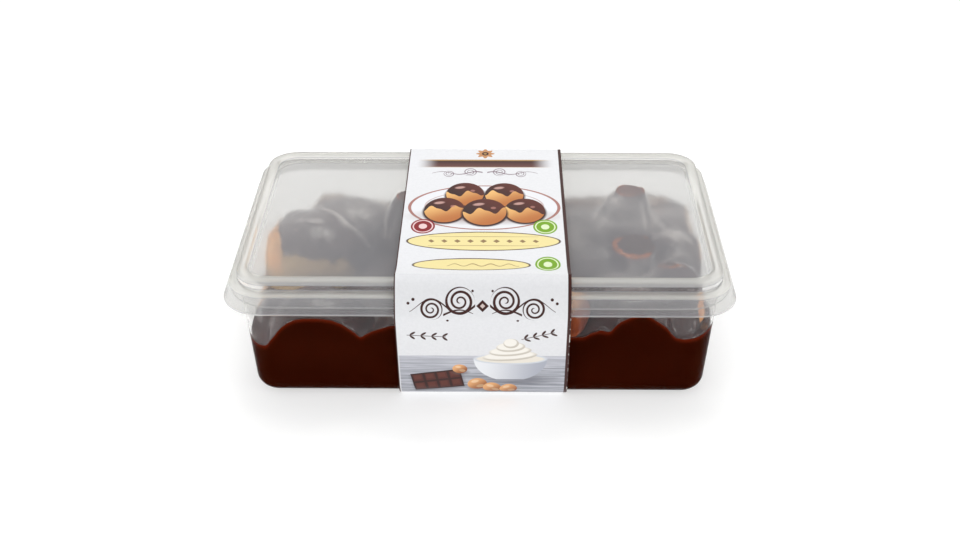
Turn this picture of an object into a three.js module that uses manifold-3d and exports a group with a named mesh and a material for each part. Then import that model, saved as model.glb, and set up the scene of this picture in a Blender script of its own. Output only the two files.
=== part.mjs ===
// A rectangular take-home pack of profiteroles: a tapered clear tub, a press-fit clear lid with a
// raised rim and a recessed centre, a cardboard sleeve round the middle, and inside it puffs of
// choux pastry heaped in dark chocolate cream. Millimetres, +Z up, origin at the middle of the
// underside of the sleeve, +X along the long side, front face towards -Y.
import * as THREE from 'three';
import { mergeVertices } from 'three/addons/utils/BufferGeometryUtils.js';
import Module from 'manifold-3d';

const wasm = await Module();
wasm.setup();

// ---------------------------------------------------------------- driving dimensions
const CORNER_STEPS = 5;          // facets per rounded corner

const TUB_BASE_Z = 0.8;          // underside of the tub, just above the sleeve's bottom panel
const TUB_T = 0.7;               // tub wall
const TUB_BASE_A = 89.8;         // half length and half depth of the wall carried down to the base
const TUB_BASE_B = 51.55;
const TUB_BASE_R = 7.6;          // plan corner radius at the base
const TUB_FILLET = 7.2;          // rounding between wall and base
const TUB_TOP_A = 94.25;         // half length and half depth under the flange
const TUB_TOP_B = 56.0;
const TUB_TOP_R = 15.0;
const TUB_TOP_Z = 51.7;          // top of the flange
const FLANGE_OUT = 2.3;          // flange beyond the wall
const FLANGE_T = 0.65;
const LIP_DROP = 4.7;            // lip that hangs from the flange

const LID_A = 97.65;             // half length and half depth at the ledge above the skirt
const LID_B = 59.42;
const LID_R = 14.6;
const LID_T = 0.6;
const SKIRT_Z = 45.5;            // lower edge of the skirt
const SKIRT_FLARE = 2.35;
const LEDGE_Z = 52.63;
const LEDGE_W = 3.0;
const RIM_Z = 57.64;             // top of the raised rim
const RIM_IN = 4.2;              // rim's flat top, as insets from the ledge edge
const RIM_OUT = 6.9;
const PANEL_IN = 8.7;            // inset of the recessed centre panel
const PANEL_Z = 53.6;

const SLEEVE_X0 = -32.3;         // the sleeve's two cut edges
const SLEEVE_X1 = 35.1;
const CARD_T = 0.5;
const CREASE_Y = -55.2;          // front top fold, standing proud of the rim
const CREASE_Z = 60.6;
const SLEEVE_TOP_Z = 58.5;

const GAP = 0.3;                 // clearance between touching pieces

// ---------------------------------------------------------------- closed meshes by loops
function ring(a, b, r, z) {
  const p = [];
  const q = Math.max(0.6, Math.min(r, a - 0.1, b - 0.1));
  for (const [sx, sy, t0] of [[1, 1, 0], [-1, 1, 90], [-1, -1, 180], [1, -1, 270]]) {
    for (let k = 0; k <= CORNER_STEPS; k++) {
      const t = THREE.MathUtils.degToRad(t0 + (90 * k) / CORNER_STEPS);
      p.push([sx * (a - q) + q * Math.cos(t), sy * (b - q) + q * Math.sin(t), z]);
    }
  }
  return p;
}

function geometryFrom(verts, tris) {
  const g = new THREE.BufferGeometry();
  g.setAttribute('position', new THREE.Float32BufferAttribute(verts.flat(), 3));
  let v = 0;
  const e = (i) => new THREE.Vector3(...verts[i]);
  for (const [i, j, k] of tris) v += e(i).dot(e(j).clone().cross(e(k)));
  g.setIndex((v < 0 ? tris.map(([i, j, k]) => [i, k, j]) : tris).flat());
  g.computeVertexNormals();
  return g;
}

// rings from one flat cap to the other; the two caps are fans round their middles
function loft(rings) {
  const n = rings[0].length;
  const verts = rings.flat();
  const tris = [];
  for (let i = 0; i + 1 < rings.length; i++) {
    for (let k = 0; k < n; k++) {
      const a = i * n + k, b = i * n + ((k + 1) % n), c = a + n, d = b + n;
      tris.push([a, b, d], [a, d, c]);
    }
  }
  const cap = (i, flip) => {
    const c = verts.push([0, 0, rings[i][0][2]]) - 1;
    for (let k = 0; k < n; k++) {
      const a = i * n + k, b = i * n + ((k + 1) % n);
      tris.push(flip ? [c, b, a] : [c, a, b]);
    }
  };
  cap(0, true);
  cap(rings.length - 1, false);
  return geometryFrom(verts, tris);
}

// a band of thickness t along a closed outline in the YZ plane, carried along X
function bandAlongX(outline, t, x0, x1) {
  const n = outline.length;
  const inner = outline.map((p, i) => {
    const a = outline[(i + n - 1) % n], b = outline[(i + 1) % n];
    const u = [p[0] - a[0], p[1] - a[1]], w = [b[0] - p[0], b[1] - p[1]];
    const lu = Math.hypot(...u), lw = Math.hypot(...w);
    const nu = [-u[1] / lu, u[0] / lu], nw = [-w[1] / lw, w[0] / lw];
    const m = [nu[0] + nw[0], nu[1] + nw[1]];
    const s = t / (1 + nu[0] * nw[0] + nu[1] * nw[1]);
    return [p[0] + m[0] * s, p[1] + m[1] * s];
  });
  const verts = [];
  for (const x of [x0, x1]) {
    for (const p of outline) verts.push([x, ...p]);
    for (const p of inner) verts.push([x, ...p]);
  }
  const tris = [];
  const quad = (a, b, c, d) => tris.push([a, b, c], [a, c, d]);
  for (let k = 0; k < n; k++) {
    const j = (k + 1) % n;
    quad(k, 2 * n + k, 2 * n + j, j);                       // outer face
    quad(n + k, n + j, 3 * n + j, 3 * n + k);               // inner face
    quad(k, j, n + j, n + k);                               // cut edge at x0
    quad(2 * n + k, 3 * n + k, 3 * n + j, 2 * n + j);       // cut edge at x1
  }
  return geometryFrom(verts, tris);
}

function toSolid(geometry) {
  const g = geometry.clone();
  g.deleteAttribute('normal');
  if (g.getAttribute('uv')) g.deleteAttribute('uv');
  const m = mergeVertices(g, 1e-4);
  return new wasm.Manifold(new wasm.Mesh({
    numProp: 3,
    vertProperties: new Float32Array(m.getAttribute('position').array),
    triVerts: new Uint32Array(m.getIndex().array),
  }));
}

function fromSolid(solid) {
  const m = solid.getMesh();
  const g = new THREE.BufferGeometry();
  g.setAttribute('position', new THREE.BufferAttribute(new Float32Array(m.vertProperties), 3));
  g.setIndex(new THREE.BufferAttribute(new Uint32Array(m.triVerts), 1));
  g.computeVertexNormals();
  return g;
}

// ---------------------------------------------------------------- tub
// outline of the tub wall at height z, moved inwards by d
function tubAt(z, d = 0) {
  const t = (z - TUB_BASE_Z) / (TUB_TOP_Z - TUB_BASE_Z);
  let a = THREE.MathUtils.lerp(TUB_BASE_A, TUB_TOP_A, t);
  let b = THREE.MathUtils.lerp(TUB_BASE_B, TUB_TOP_B, t);
  let r = THREE.MathUtils.lerp(TUB_BASE_R, TUB_TOP_R, t);
  return [a - d, b - d, r - d * 0.6];
}

function tubBowl(d, topZ) {
  // rings from the base up: the rounding, then the straight wall, all moved inwards by d
  const rings = [];
  const f = TUB_FILLET - d;
  const z0 = TUB_BASE_Z + d;
  for (const deg of [8, 30, 55, 90]) {
    const s = THREE.MathUtils.degToRad(deg);
    const z = z0 + f * (1 - Math.cos(s));
    const [a, b, r] = tubAt(z, d + f * (1 - Math.sin(s)));
    rings.push(ring(a, b, Math.max(r, 1.2), deg === 8 ? z0 : z));
  }
  const [a, b, r] = tubAt(topZ, d);
  rings.push(ring(a, b, r, topZ));
  return rings;
}

function tubGeometry() {
  const [a, b, r] = tubAt(TUB_TOP_Z);
  const under = TUB_TOP_Z - FLANGE_T;
  const lipZ = TUB_TOP_Z - LIP_DROP;
  const flare = 0.5;
  const outer = tubBowl(0, under);
  const o = FLANGE_OUT;
  return loft([
    ...outer,
    ring(a + o - FLANGE_T, b + o - FLANGE_T, r + o - FLANGE_T, under),
    ring(a + o - FLANGE_T + flare, b + o - FLANGE_T + flare, r + o, lipZ),
    ring(a + o + flare, b + o + flare, r + o, lipZ),
    ring(a + o, b + o, r + o, TUB_TOP_Z - 0.5),
    ring(a + o - 0.5, b + o - 0.5, r + o - 0.5, TUB_TOP_Z),
    ring(a - TUB_T * 0.6, b - TUB_T * 0.6, r - TUB_T * 0.6, TUB_TOP_Z),
    ...tubBowl(TUB_T, TUB_TOP_Z - 0.8).reverse(),
  ]);
}

// ---------------------------------------------------------------- lid
function lidGeometry() {
  // [inset from the ledge edge, height] along the upper face, from the panel out to the skirt
  const upper = [
    [PANEL_IN, PANEL_Z],
    [PANEL_IN - 0.55, PANEL_Z + 0.5],
    [PANEL_IN - 0.95, RIM_Z - 0.8],
    [RIM_OUT, RIM_Z],
    [RIM_IN, RIM_Z],
    [RIM_IN - 0.75, RIM_Z - 0.55],
    [RIM_IN - 0.95, RIM_Z - 1.5],
    [LEDGE_W, LEDGE_Z],
    [0.7, LEDGE_Z],
    [0.1, LEDGE_Z - 0.45],
    [-SKIRT_FLARE, SKIRT_Z],
  ];
  const t = LID_T;
  const lower = [
    [-SKIRT_FLARE + t, SKIRT_Z],
    [0.1 + t, LEDGE_Z - 0.9],
    [0.9, LEDGE_Z - t],
    [LEDGE_W + 0.4, LEDGE_Z - t],
    [RIM_IN - 0.95 + t, RIM_Z - 1.6],
    [RIM_IN - 0.1, RIM_Z - t - 0.3],
    [RIM_IN + 0.3, RIM_Z - t],
    [RIM_OUT - 0.3, RIM_Z - t],
    [PANEL_IN - 0.95 - t, RIM_Z - 1.2],
    [PANEL_IN - 0.55 - t, PANEL_Z + 0.1],
    [PANEL_IN - 0.3, PANEL_Z - t],
  ];
  return loft([...upper, ...lower].map(([i, z]) => ring(LID_A - i, LID_B - i, LID_R - i * 0.75, z)));
}

// ---------------------------------------------------------------- sleeve
function sleeveOutline() {
  const pts = [];
  const bow = (p, q, out, steps) => {
    // a run from p to q that bows outwards by out
    const dy = q[0] - p[0], dz = q[1] - p[1], l = Math.hypot(dy, dz);
    for (let k = 0; k < steps; k++) {
      const t = k / steps, h = out * 4 * t * (1 - t);
      pts.push([p[0] + dy * t + (dz / l) * h, p[1] + dz * t - (dy / l) * h]);
    }
  };
  // anticlockwise seen from +X (Y to the right, Z up): bottom, back, top, front
  const foot = 47.6, toe = 53.9, toeZ = 9.6, hip = 62.9, hipZ = 45.6, edge = 60.7, edgeZ = 52.9;
  bow([-foot, 0], [foot, 0], 0, 1);
  bow([foot, 0], [toe, toeZ], 1.3, 4);
  bow([toe, toeZ], [hip, hipZ], 0.25, 3);
  bow([hip, hipZ], [edge, edgeZ], 0.1, 1);
  bow([edge, edgeZ], [57.7, 57.9], 0.1, 1);
  bow([57.7, 57.9], [56.5, SLEEVE_TOP_Z], 0.1, 1);
  bow([56.5, SLEEVE_TOP_Z], [-45.5, SLEEVE_TOP_Z], 0, 1);
  bow([-45.5, SLEEVE_TOP_Z], [CREASE_Y, CREASE_Z], -0.25, 3);
  bow([CREASE_Y, CREASE_Z], [-58.1, 57.9], 0.15, 2);
  bow([-58.1, 57.9], [-edge, edgeZ], 0.1, 1);
  bow([-edge, edgeZ], [-hip, hipZ], 0.1, 1);
  bow([-hip, hipZ], [-toe, toeZ], 0.25, 3);
  bow([-toe, toeZ], [-foot, 0], 1.3, 4);
  return pts;
}

// ---------------------------------------------------------------- contents
// the room inside the tub, less the clearance
const room = toSolid(loft(tubBowl(TUB_T + GAP, PANEL_Z - LID_T - GAP)));

const smooth = (t) => { const u = Math.min(1, Math.max(0, t)); return u * u * (3 - 2 * u); };

// level of the chocolate cream between the puffs
function level(x, y) {
  const toBack = smooth((y + 54) / 108);
  const toRight = smooth((x + 90) / 125);
  let z = 27 + 3.6 * toRight + 3.4 * toBack * toRight;
  z += 1.2 * Math.sin(x / 9.5 + 0.8) * Math.cos(y / 11);
  z += 3.2 * Math.exp(-(((x - 91) / 8) ** 2) - (((y + 54) / 16) ** 2));
  z += 2.2 * Math.exp(-(((x - 46) / 5) ** 2) - (((y + 54) / 9) ** 2));
  return z;
}

function creamBelowLevel() {
  const NX = 30, NY = 18, X = 100, Y = 62;
  const verts = [], tris = [];
  for (const top of [false, true]) {
    for (let j = 0; j <= NY; j++) for (let i = 0; i <= NX; i++) {
      const x = -X + (2 * X * i) / NX, y = -Y + (2 * Y * j) / NY;
      verts.push([x, y, top ? level(x, y) : -4]);
    }
  }
  const id = (i, j, top) => (top ? (NX + 1) * (NY + 1) : 0) + j * (NX + 1) + i;
  for (let j = 0; j < NY; j++) for (let i = 0; i < NX; i++) {
    tris.push([id(i, j, 1), id(i + 1, j, 1), id(i + 1, j + 1, 1)], [id(i, j, 1), id(i + 1, j + 1, 1), id(i, j + 1, 1)]);
    tris.push([id(i, j, 0), id(i + 1, j + 1, 0), id(i + 1, j, 0)], [id(i, j, 0), id(i, j + 1, 0), id(i + 1, j + 1, 0)]);
  }
  for (let i = 0; i < NX; i++) {
    tris.push([id(i, 0, 0), id(i + 1, 0, 0), id(i + 1, 0, 1)], [id(i, 0, 0), id(i + 1, 0, 1), id(i, 0, 1)]);
    tris.push([id(i, NY, 0), id(i + 1, NY, 1), id(i + 1, NY, 0)], [id(i, NY, 0), id(i, NY, 1), id(i + 1, NY, 1)]);
  }
  for (let j = 0; j < NY; j++) {
    tris.push([id(0, j, 0), id(0, j + 1, 1), id(0, j + 1, 0)], [id(0, j, 0), id(0, j, 1), id(0, j + 1, 1)]);
    tris.push([id(NX, j, 0), id(NX, j + 1, 0), id(NX, j + 1, 1)], [id(NX, j, 0), id(NX, j + 1, 1), id(NX, j, 1)]);
  }
  return toSolid(geometryFrom(verts, tris));
}

// a puff: a ball of the stated half sizes with a few broad swellings
function puffBall(p, grow) {
  const U = 16, V = 9;
  const verts = [], tris = [];
  const [cx, cy, cz] = p.at, [rx, ry, rz] = p.half;
  for (let j = 0; j <= V; j++) {
    const f = -Math.PI / 2 + (Math.PI * j) / V;
    const m = j === 0 || j === V ? 1 : U;
    for (let i = 0; i < m; i++) {
      const t = (2 * Math.PI * i) / U;
      const s = 1 + 0.035 * Math.cos(f) * (Math.sin(3 * t + p.seed) + 0.7 * Math.cos(2 * t + 2.1 * p.seed + 3 * f));
      verts.push([
        cx + (rx + grow) * s * Math.cos(f) * Math.cos(t),
        cy + (ry + grow) * s * Math.cos(f) * Math.sin(t),
        cz + (rz + grow) * Math.sin(f),
      ]);
    }
  }
  const row = (j) => (j === 0 ? 0 : 1 + (j - 1) * U);
  for (let j = 0; j < V; j++) for (let i = 0; i < U; i++) {
    const k = (i + 1) % U;
    const a = j === 0 ? 0 : row(j) + i, b = j === 0 ? 0 : row(j) + k;
    const c = j + 1 === V ? row(V) : row(j + 1) + i, d = j + 1 === V ? row(V) : row(j + 1) + k;
    if (a !== b) tris.push([a, b, d]);
    if (c !== d) tris.push([a, d, c]);
  }
  return toSolid(geometryFrom(verts, tris));
}

// a drawn-up tip of cream that reaches the lid: [height below the lid, radius] down its side
function tip(p, grow) {
  const { x, y, rx, ry, foot } = p.tip;
  const top = PANEL_Z - LID_T - GAP + 1;
  const prof = [[0.001, foot], [1.9, foot], [1.25, top - 8.5], [0.93, top - 5], [1, top - 2.5], [1, top], [0.001, top]];
  const pts = prof.map(([r, z]) => new THREE.Vector2(r, z));
  pts[0].x = 0; pts[pts.length - 1].x = 0;
  const g = new THREE.LatheGeometry(pts, 14);
  g.rotateX(Math.PI / 2);
  g.scale(rx + grow, ry + grow, 1);
  g.translate(x, y, 0);
  const s = g.index.array;
  const pos = g.getAttribute('position');
  const verts = [], tris = [];
  for (let i = 0; i < pos.count; i++) verts.push([pos.getX(i), pos.getY(i), pos.getZ(i)]);
  for (let i = 0; i < s.length; i += 3) tris.push([s[i], s[i + 1], s[i + 2]]);
  const q = mergeVertices((() => { const h = new THREE.BufferGeometry();
    h.setAttribute('position', new THREE.Float32BufferAttribute(verts.flat(), 3)); h.setIndex(tris.flat()); return h; })(), 1e-3);
  const qv = [], qt = [], qi = q.getIndex().array, qp = q.getAttribute('position');
  for (let i = 0; i < qp.count; i++) qv.push([qp.getX(i), qp.getY(i), qp.getZ(i)]);
  for (let i = 0; i < qi.length; i += 3) {
    const t = [qi[i], qi[i + 1], qi[i + 2]];
    if (t[0] !== t[1] && t[1] !== t[2] && t[0] !== t[2]) qt.push(t);
  }
  return toSolid(geometryFrom(qv, qt));
}

// the puffs that show, with their middles, half sizes and drawn-up tips
const PUFFS = [
  { name: 'profiterole_left_end', at: [-71, 10, 29], half: [24, 23.5, 18.5], seed: 0.4 },
  { name: 'profiterole_front_left', at: [-64.5, -41, 22.5], half: [21, 22, 21], seed: 1.7 },
  { name: 'profiterole_back_left', at: [-58, 41, 21], half: [21.5, 21.5, 18], seed: 2.9 },
  { name: 'profiterole_back_centre', at: [-29, 22, 24], half: [17, 18, 17], seed: 3.6, tip: { x: -32.6, y: 22, rx: 3.9, ry: 4.4, foot: 36 } },
  { name: 'profiterole_front_centre', at: [-21, -42, 22], half: [19, 20, 18], seed: 5.2 },
  { name: 'profiterole_front_choux', at: [26.5, -40.5, 36.5], half: [17, 20, 15.5], seed: 0.9 },
  { name: 'profiterole_front_right', at: [61.5, -32, 26.5], half: [20, 23.5, 19], seed: 4.1, tip: { x: 62, y: -21, rx: 8.7, ry: 9.8, foot: 36 },
    lobe: { at: [61.5, -44, 31], half: [11, 13, 14] } },
  { name: 'profiterole_back_right', at: [62, 28, 25], half: [21, 21, 18.5], seed: 2.2, tip: { x: 64.2, y: 27.5, rx: 6.4, ry: 5.2, foot: 36 } },
  { name: 'profiterole_right_end', at: [83, 3, 27], half: [14, 17, 17], seed: 5.9 },
  { name: 'profiterole_right_corner', at: [79, -35, 33.4], half: [10.5, 13, 18.2], seed: 3.1 },
];

function puffSolid(p, grow) {
  let s = puffBall(p, grow);
  if (p.lobe) s = s.add(puffBall({ ...p, at: p.lobe.at, half: p.lobe.half }, grow));
  if (p.tip) s = s.add(tip(p, grow));
  return s;
}

const puffs = [];
let cream = room.intersect(creamBelowLevel());
for (const p of PUFFS) {
  let s = puffSolid(p, 0).intersect(room);
  for (const q of puffs) s = s.subtract(q.wide);
  puffs.push({ name: p.name, solid: s, wide: puffSolid(p, GAP * 1.25) });
}
for (const q of puffs) cream = cream.subtract(q.wide);

// only the largest body of a cut solid is kept
function largest(solid) {
  const parts = solid.decompose();
  return parts.reduce((a, b) => (b.volume() > a.volume() ? b : a));
}

// ---------------------------------------------------------------- scene graph
const mat = (color, roughness, extra = {}) =>
  new THREE.MeshStandardMaterial({ color, roughness, metalness: 0, ...extra });
const clear = mat('#dcdcd6', 0.25, { transparent: true, opacity: 0.35 });
const card = mat('#e4e5e9', 0.5);
const dark = mat('#29050a', 0.3);
const choux = mat('#c98a4e', 0.8);

const root = new THREE.Group();
function put(name, geometry, material) {
  const m = new THREE.Mesh(geometry, material);
  m.name = name;
  root.add(m);
}
put('tub', tubGeometry(), clear.clone());
put('lid', lidGeometry(), clear.clone());
put('sleeve', bandAlongX(sleeveOutline(), CARD_T, SLEEVE_X0, SLEEVE_X1), card);
put('chocolate_cream', fromSolid(largest(cream)), dark);
for (const q of puffs) {
  put(q.name, fromSolid(largest(q.solid)), q.name.includes('choux') || q.name.includes('left_end') || q.name.includes('right_corner') ? choux.clone() : dark.clone());
}

export default root;
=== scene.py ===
import math
import bpy
import numpy as np
from mathutils import Matrix, Vector, noise


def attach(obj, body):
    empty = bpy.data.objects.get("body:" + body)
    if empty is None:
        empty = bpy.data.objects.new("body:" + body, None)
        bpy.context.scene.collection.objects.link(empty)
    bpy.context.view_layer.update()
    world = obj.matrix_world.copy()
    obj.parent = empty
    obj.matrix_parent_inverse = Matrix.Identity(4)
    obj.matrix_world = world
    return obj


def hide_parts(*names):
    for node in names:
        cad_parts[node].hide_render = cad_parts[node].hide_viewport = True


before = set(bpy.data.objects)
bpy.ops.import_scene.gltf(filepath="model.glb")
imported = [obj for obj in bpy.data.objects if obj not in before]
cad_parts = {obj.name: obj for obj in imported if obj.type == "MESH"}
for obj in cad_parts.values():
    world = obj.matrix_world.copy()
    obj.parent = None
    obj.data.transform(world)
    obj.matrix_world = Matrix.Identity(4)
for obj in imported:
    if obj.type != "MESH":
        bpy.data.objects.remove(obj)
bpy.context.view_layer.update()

MM = 0.001

# ------------------------------------------------------------------ sizes, as in the CAD, in mm
TUB_BASE_Z, TUB_T = 0.8, 0.7
TUB_BASE_A, TUB_BASE_B, TUB_BASE_R = 89.8, 51.55, 7.6
TUB_FILLET = 7.2
TUB_TOP_A, TUB_TOP_B, TUB_TOP_R = 94.25, 56.0, 15.0
TUB_TOP_Z, FLANGE_OUT, FLANGE_T, LIP_DROP = 51.7, 2.3, 0.65, 4.7
LID_A, LID_B, LID_R, LID_T = 97.65, 59.42, 14.6, 0.6
SKIRT_Z, SKIRT_FLARE = 45.5, 2.35
LEDGE_Z, LEDGE_W = 52.63, 3.0
RIM_Z, RIM_IN, RIM_OUT = 57.64, 4.2, 6.9
PANEL_IN, PANEL_Z = 8.7, 53.6
SLEEVE_X0, SLEEVE_X1, CARD_T = -32.3, 35.1, 0.5
CREASE_Y, CREASE_Z, SLEEVE_TOP_Z = -55.2, 60.6, 58.5


def smooth(t):
    u = np.clip(t, 0.0, 1.0)
    return u * u * (3 - 2 * u)


# ------------------------------------------------------------------ mesh helpers
def make_piece(name, verts, faces, mats, face_mat=None, smooth_shade=True, uv=None, attrs=None):
    me = bpy.data.meshes.new(name)
    me.from_pydata([tuple(v) for v in np.asarray(verts, float) * MM], [], [tuple(int(i) for i in f) for f in faces])
    for m in mats:
        me.materials.append(m)
    if face_mat is not None:
        me.polygons.foreach_set("material_index", np.asarray(face_mat, np.int32))
    me.polygons.foreach_set("use_smooth", np.full(len(me.polygons), smooth_shade))
    if attrs:
        for key, val in attrs.items():
            a = me.attributes.new(key, "FLOAT", "POINT")
            a.data.foreach_set("value", np.asarray(val, np.float32))
    if uv is not None:
        layer = me.uv_layers.new(name="print_mm")
        loops = np.zeros(len(me.loops), np.int32)
        me.loops.foreach_get("vertex_index", loops)
        layer.data.foreach_set("uv", np.asarray(uv, np.float32)[loops].ravel())
    me.update()
    me.validate()
    ob = bpy.data.objects.new(name, me)
    bpy.context.scene.collection.objects.link(ob)
    return ob


def ring(a, b, r, z, n=12, mx=1, my=1):
    """Rounded rectangle, anticlockwise: n steps in each corner, mx and my steps along the sides."""
    q = max(0.4, min(r, a - 0.05, b - 0.05))
    pts = []
    for sx, sy, t0 in ((1, 1, 0), (-1, 1, 90), (-1, -1, 180), (1, -1, 270)):
        for k in range(n + 1):
            t = math.radians(t0 + 90 * k / n)
            pts.append((sx * (a - q) + q * math.cos(t), sy * (b - q) + q * math.sin(t)))
        m = mx if t0 in (0, 180) else my
        p = pts[-1]
        if t0 == 0:
            e = (-(a - q), b)
        elif t0 == 90:
            e = (-a, -(b - q))
        elif t0 == 180:
            e = (a - q, -b)
        else:
            e = (a, b - q)
        for k in range(1, m):
            pts.append((p[0] + (e[0] - p[0]) * k / m, p[1] + (e[1] - p[1]) * k / m))
    zz = z if np.ndim(z) else np.full(len(pts), float(z))
    return np.column_stack([np.array(pts), zz])


def loft(rings, slots, cap_slots, values, cap_steps=6):
    """Rings between two flat caps; the caps close over shrinking copies of their ring. values holds one number per ring."""
    n = len(rings[0])

    def inner(rg):
        out = []
        c = rg.mean(0)
        span = np.abs(rg - c).max(0)
        short = min(span[0], span[1])
        for k in range(1, cap_steps + 1):
            s = 1 - 0.96 * k / cap_steps
            f = np.array([(span[0] - short * (1 - s)) / span[0], (span[1] - short * (1 - s)) / span[1], 1.0])
            out.append(c + (rg - c) * f)
        return out

    first, last = inner(rings[0])[::-1], inner(rings[-1])
    allr = first + list(rings) + last
    vals = [values[0]] * len(first) + list(values) + [values[-1]] * len(last)
    fs = [cap_slots[0]] * len(first) + list(slots) + [cap_slots[1]] * len(last)
    verts = np.vstack(allr)
    faces, mat = [], []
    for i in range(len(allr) - 1):
        for k in range(n):
            j = (k + 1) % n
            faces.append((i * n + k, i * n + j, (i + 1) * n + j, (i + 1) * n + k))
            mat.append(fs[i])
    faces.append(tuple(range(n))[::-1])
    mat.append(cap_slots[0])
    faces.append(tuple((len(allr) - 1) * n + k for k in range(n)))
    mat.append(cap_slots[1])
    v = 0.0
    for f in faces:
        p = verts[list(f)]
        for k in range(1, len(f) - 1):
            v += np.dot(p[0], np.cross(p[k], p[k + 1]))
    if v < 0:
        faces = [f[::-1] for f in faces]
    return verts, faces, mat, np.repeat(vals, n)


# ------------------------------------------------------------------ node helpers
class Nodes:
    """A short way to write maths as shader nodes."""

    def __init__(self, name):
        self.mat = bpy.data.materials.new(name)
        self.mat.use_nodes = True
        self.nt = self.mat.node_tree
        self.nt.nodes.clear()
        self.out = self.nt.nodes.new("ShaderNodeOutputMaterial")

    def node(self, kind, **props):
        n = self.nt.nodes.new(kind)
        for k, v in props.items():
            setattr(n, k, v)
        return n

    def put(self, socket, value):
        if isinstance(value, S):
            value = value.s
        if isinstance(value, bpy.types.NodeSocket):
            self.nt.links.new(value, socket)
        elif value is not None:
            socket.default_value = value

    def math(self, op, a, b=None, c=None, clamp=False):
        n = self.node("ShaderNodeMath", operation=op, use_clamp=clamp)
        for i, v in enumerate((a, b, c)):
            if v is not None:
                self.put(n.inputs[i], v)
        return S(self, n.outputs[0])

    def mix(self, fac, a, b):
        n = self.node("ShaderNodeMix", data_type="RGBA")
        self.put(n.inputs[0], fac)
        self.put(n.inputs[6], rgba(a))
        self.put(n.inputs[7], rgba(b))
        return S(self, n.outputs[2])

    def noise(self, vec, scale, detail=3.0, rough=0.55, dist=0.0):
        n = self.node("ShaderNodeTexNoise")
        self.put(n.inputs["Vector"], vec)
        n.inputs["Scale"].default_value = scale
        n.inputs["Detail"].default_value = detail
        n.inputs["Roughness"].default_value = rough
        n.inputs["Distortion"].default_value = dist
        return S(self, n.outputs["Fac"])

    def ramp(self, fac, stops):
        n = self.node("ShaderNodeValToRGB")
        e = n.color_ramp.elements
        while len(e) < len(stops):
            e.new(0.5)
        for el, (p, c) in zip(e, stops):
            el.position = p
            el.color = rgba(c)
        self.put(n.inputs[0], fac)
        return S(self, n.outputs[0])

    def range(self, v, a, b, c=0.0, d=1.0, kind="SMOOTHSTEP"):
        n = self.node("ShaderNodeMapRange", interpolation_type=kind)
        self.put(n.inputs[0], v)
        for i, x in enumerate((a, b, c, d)):
            n.inputs[1 + i].default_value = x
        return S(self, n.outputs[0])

    def objcoord(self):
        n = self.node("ShaderNodeTexCoord")
        return n.outputs["Object"]

    def bump(self, height, strength, distance, normal=None):
        n = self.node("ShaderNodeBump")
        n.inputs["Strength"].default_value = strength
        n.inputs["Distance"].default_value = distance
        self.put(n.inputs["Height"], height)
        if normal is not None:
            self.put(n.inputs["Normal"], normal)
        return n.outputs[0]

    def principled(self, **kw):
        n = self.node("ShaderNodeBsdfPrincipled")
        for k, v in kw.items():
            self.put(n.inputs[k.replace("_", " ")], v)
        return n

    def surface(self, socket):
        self.nt.links.new(socket, self.out.inputs["Surface"])
        return self.mat


class S:
    """A value socket with arithmetic."""

    def __init__(self, g, s):
        self.g, self.s = g, s

    def __add__(self, o): return self.g.math("ADD", self, o)
    def __radd__(self, o): return self.g.math("ADD", o, self)
    def __sub__(self, o): return self.g.math("SUBTRACT", self, o)
    def __rsub__(self, o): return self.g.math("SUBTRACT", o, self)
    def __mul__(self, o): return self.g.math("MULTIPLY", self, o)
    def __rmul__(self, o): return self.g.math("MULTIPLY", o, self)
    def __truediv__(self, o): return self.g.math("DIVIDE", self, o)
    def __neg__(self): return self.g.math("MULTIPLY", self, -1.0)
    def abs(self): return self.g.math("ABSOLUTE", self)
    def sqrt(self): return self.g.math("SQRT", self)
    def sin(self): return self.g.math("SINE", self)
    def min(self, o): return self.g.math("MINIMUM", self, o)
    def max(self, o): return self.g.math("MAXIMUM", self, o)


def rgba(c):
    if isinstance(c, (S, bpy.types.NodeSocket)):
        return c
    return (c[0], c[1], c[2], 1.0)


def srgb(r, g, b):
    f = lambda v: v / 12.92 if v <= 0.04045 else ((v + 0.055) / 1.055) ** 2.4
    return (f(r / 255), f(g / 255), f(b / 255))


# ------------------------------------------------------------------ camera, floor and light
cam_data = bpy.data.cameras.new("camera")
cam = bpy.data.objects.new("camera", cam_data)
bpy.context.scene.collection.objects.link(cam)
cam_data.sensor_fit = "HORIZONTAL"
cam_data.sensor_width = 36.0
cam_data.lens = 36.0 * 1382.22 / 960.0
cam_data.clip_start = 0.01
cam_data.clip_end = 20.0
fwd = Vector((-0.01216, 0.85708, -0.51504)).normalized()
up = Vector((-0.00396, 0.51503, 0.85716))
right = fwd.cross(up).normalized()
up = right.cross(fwd).normalized()
pos = Vector((6.747, -503.784, 331.146 + 0.8)) * MM
cam.matrix_world = Matrix((
    (right.x, up.x, -fwd.x, pos.x),
    (right.y, up.y, -fwd.y, pos.y),
    (right.z, up.z, -fwd.z, pos.z),
    (0, 0, 0, 1)))
bpy.context.scene.camera = cam

sc = bpy.context.scene
sc.view_settings.view_transform = "Standard"
sc.view_settings.look = "None"
sc.view_settings.exposure = 0.0
sc.view_settings.gamma = 1.0

g = Nodes("floor_white")
p = g.principled(Base_Color=(0.55, 0.55, 0.55, 1), Roughness=0.9, Specular_IOR_Level=0.1,
                 Emission_Color=(1, 1, 1, 1), Emission_Strength=0.56)
g.surface(p.outputs[0])
me = bpy.data.meshes.new("floor")
me.from_pydata([(-4, -4, 0), (4, -4, 0), (4, 4, 0), (-4, 4, 0)], [], [(0, 1, 2, 3)])
me.materials.append(g.mat)
floor = bpy.data.objects.new("floor", me)
sc.collection.objects.link(floor)

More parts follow.
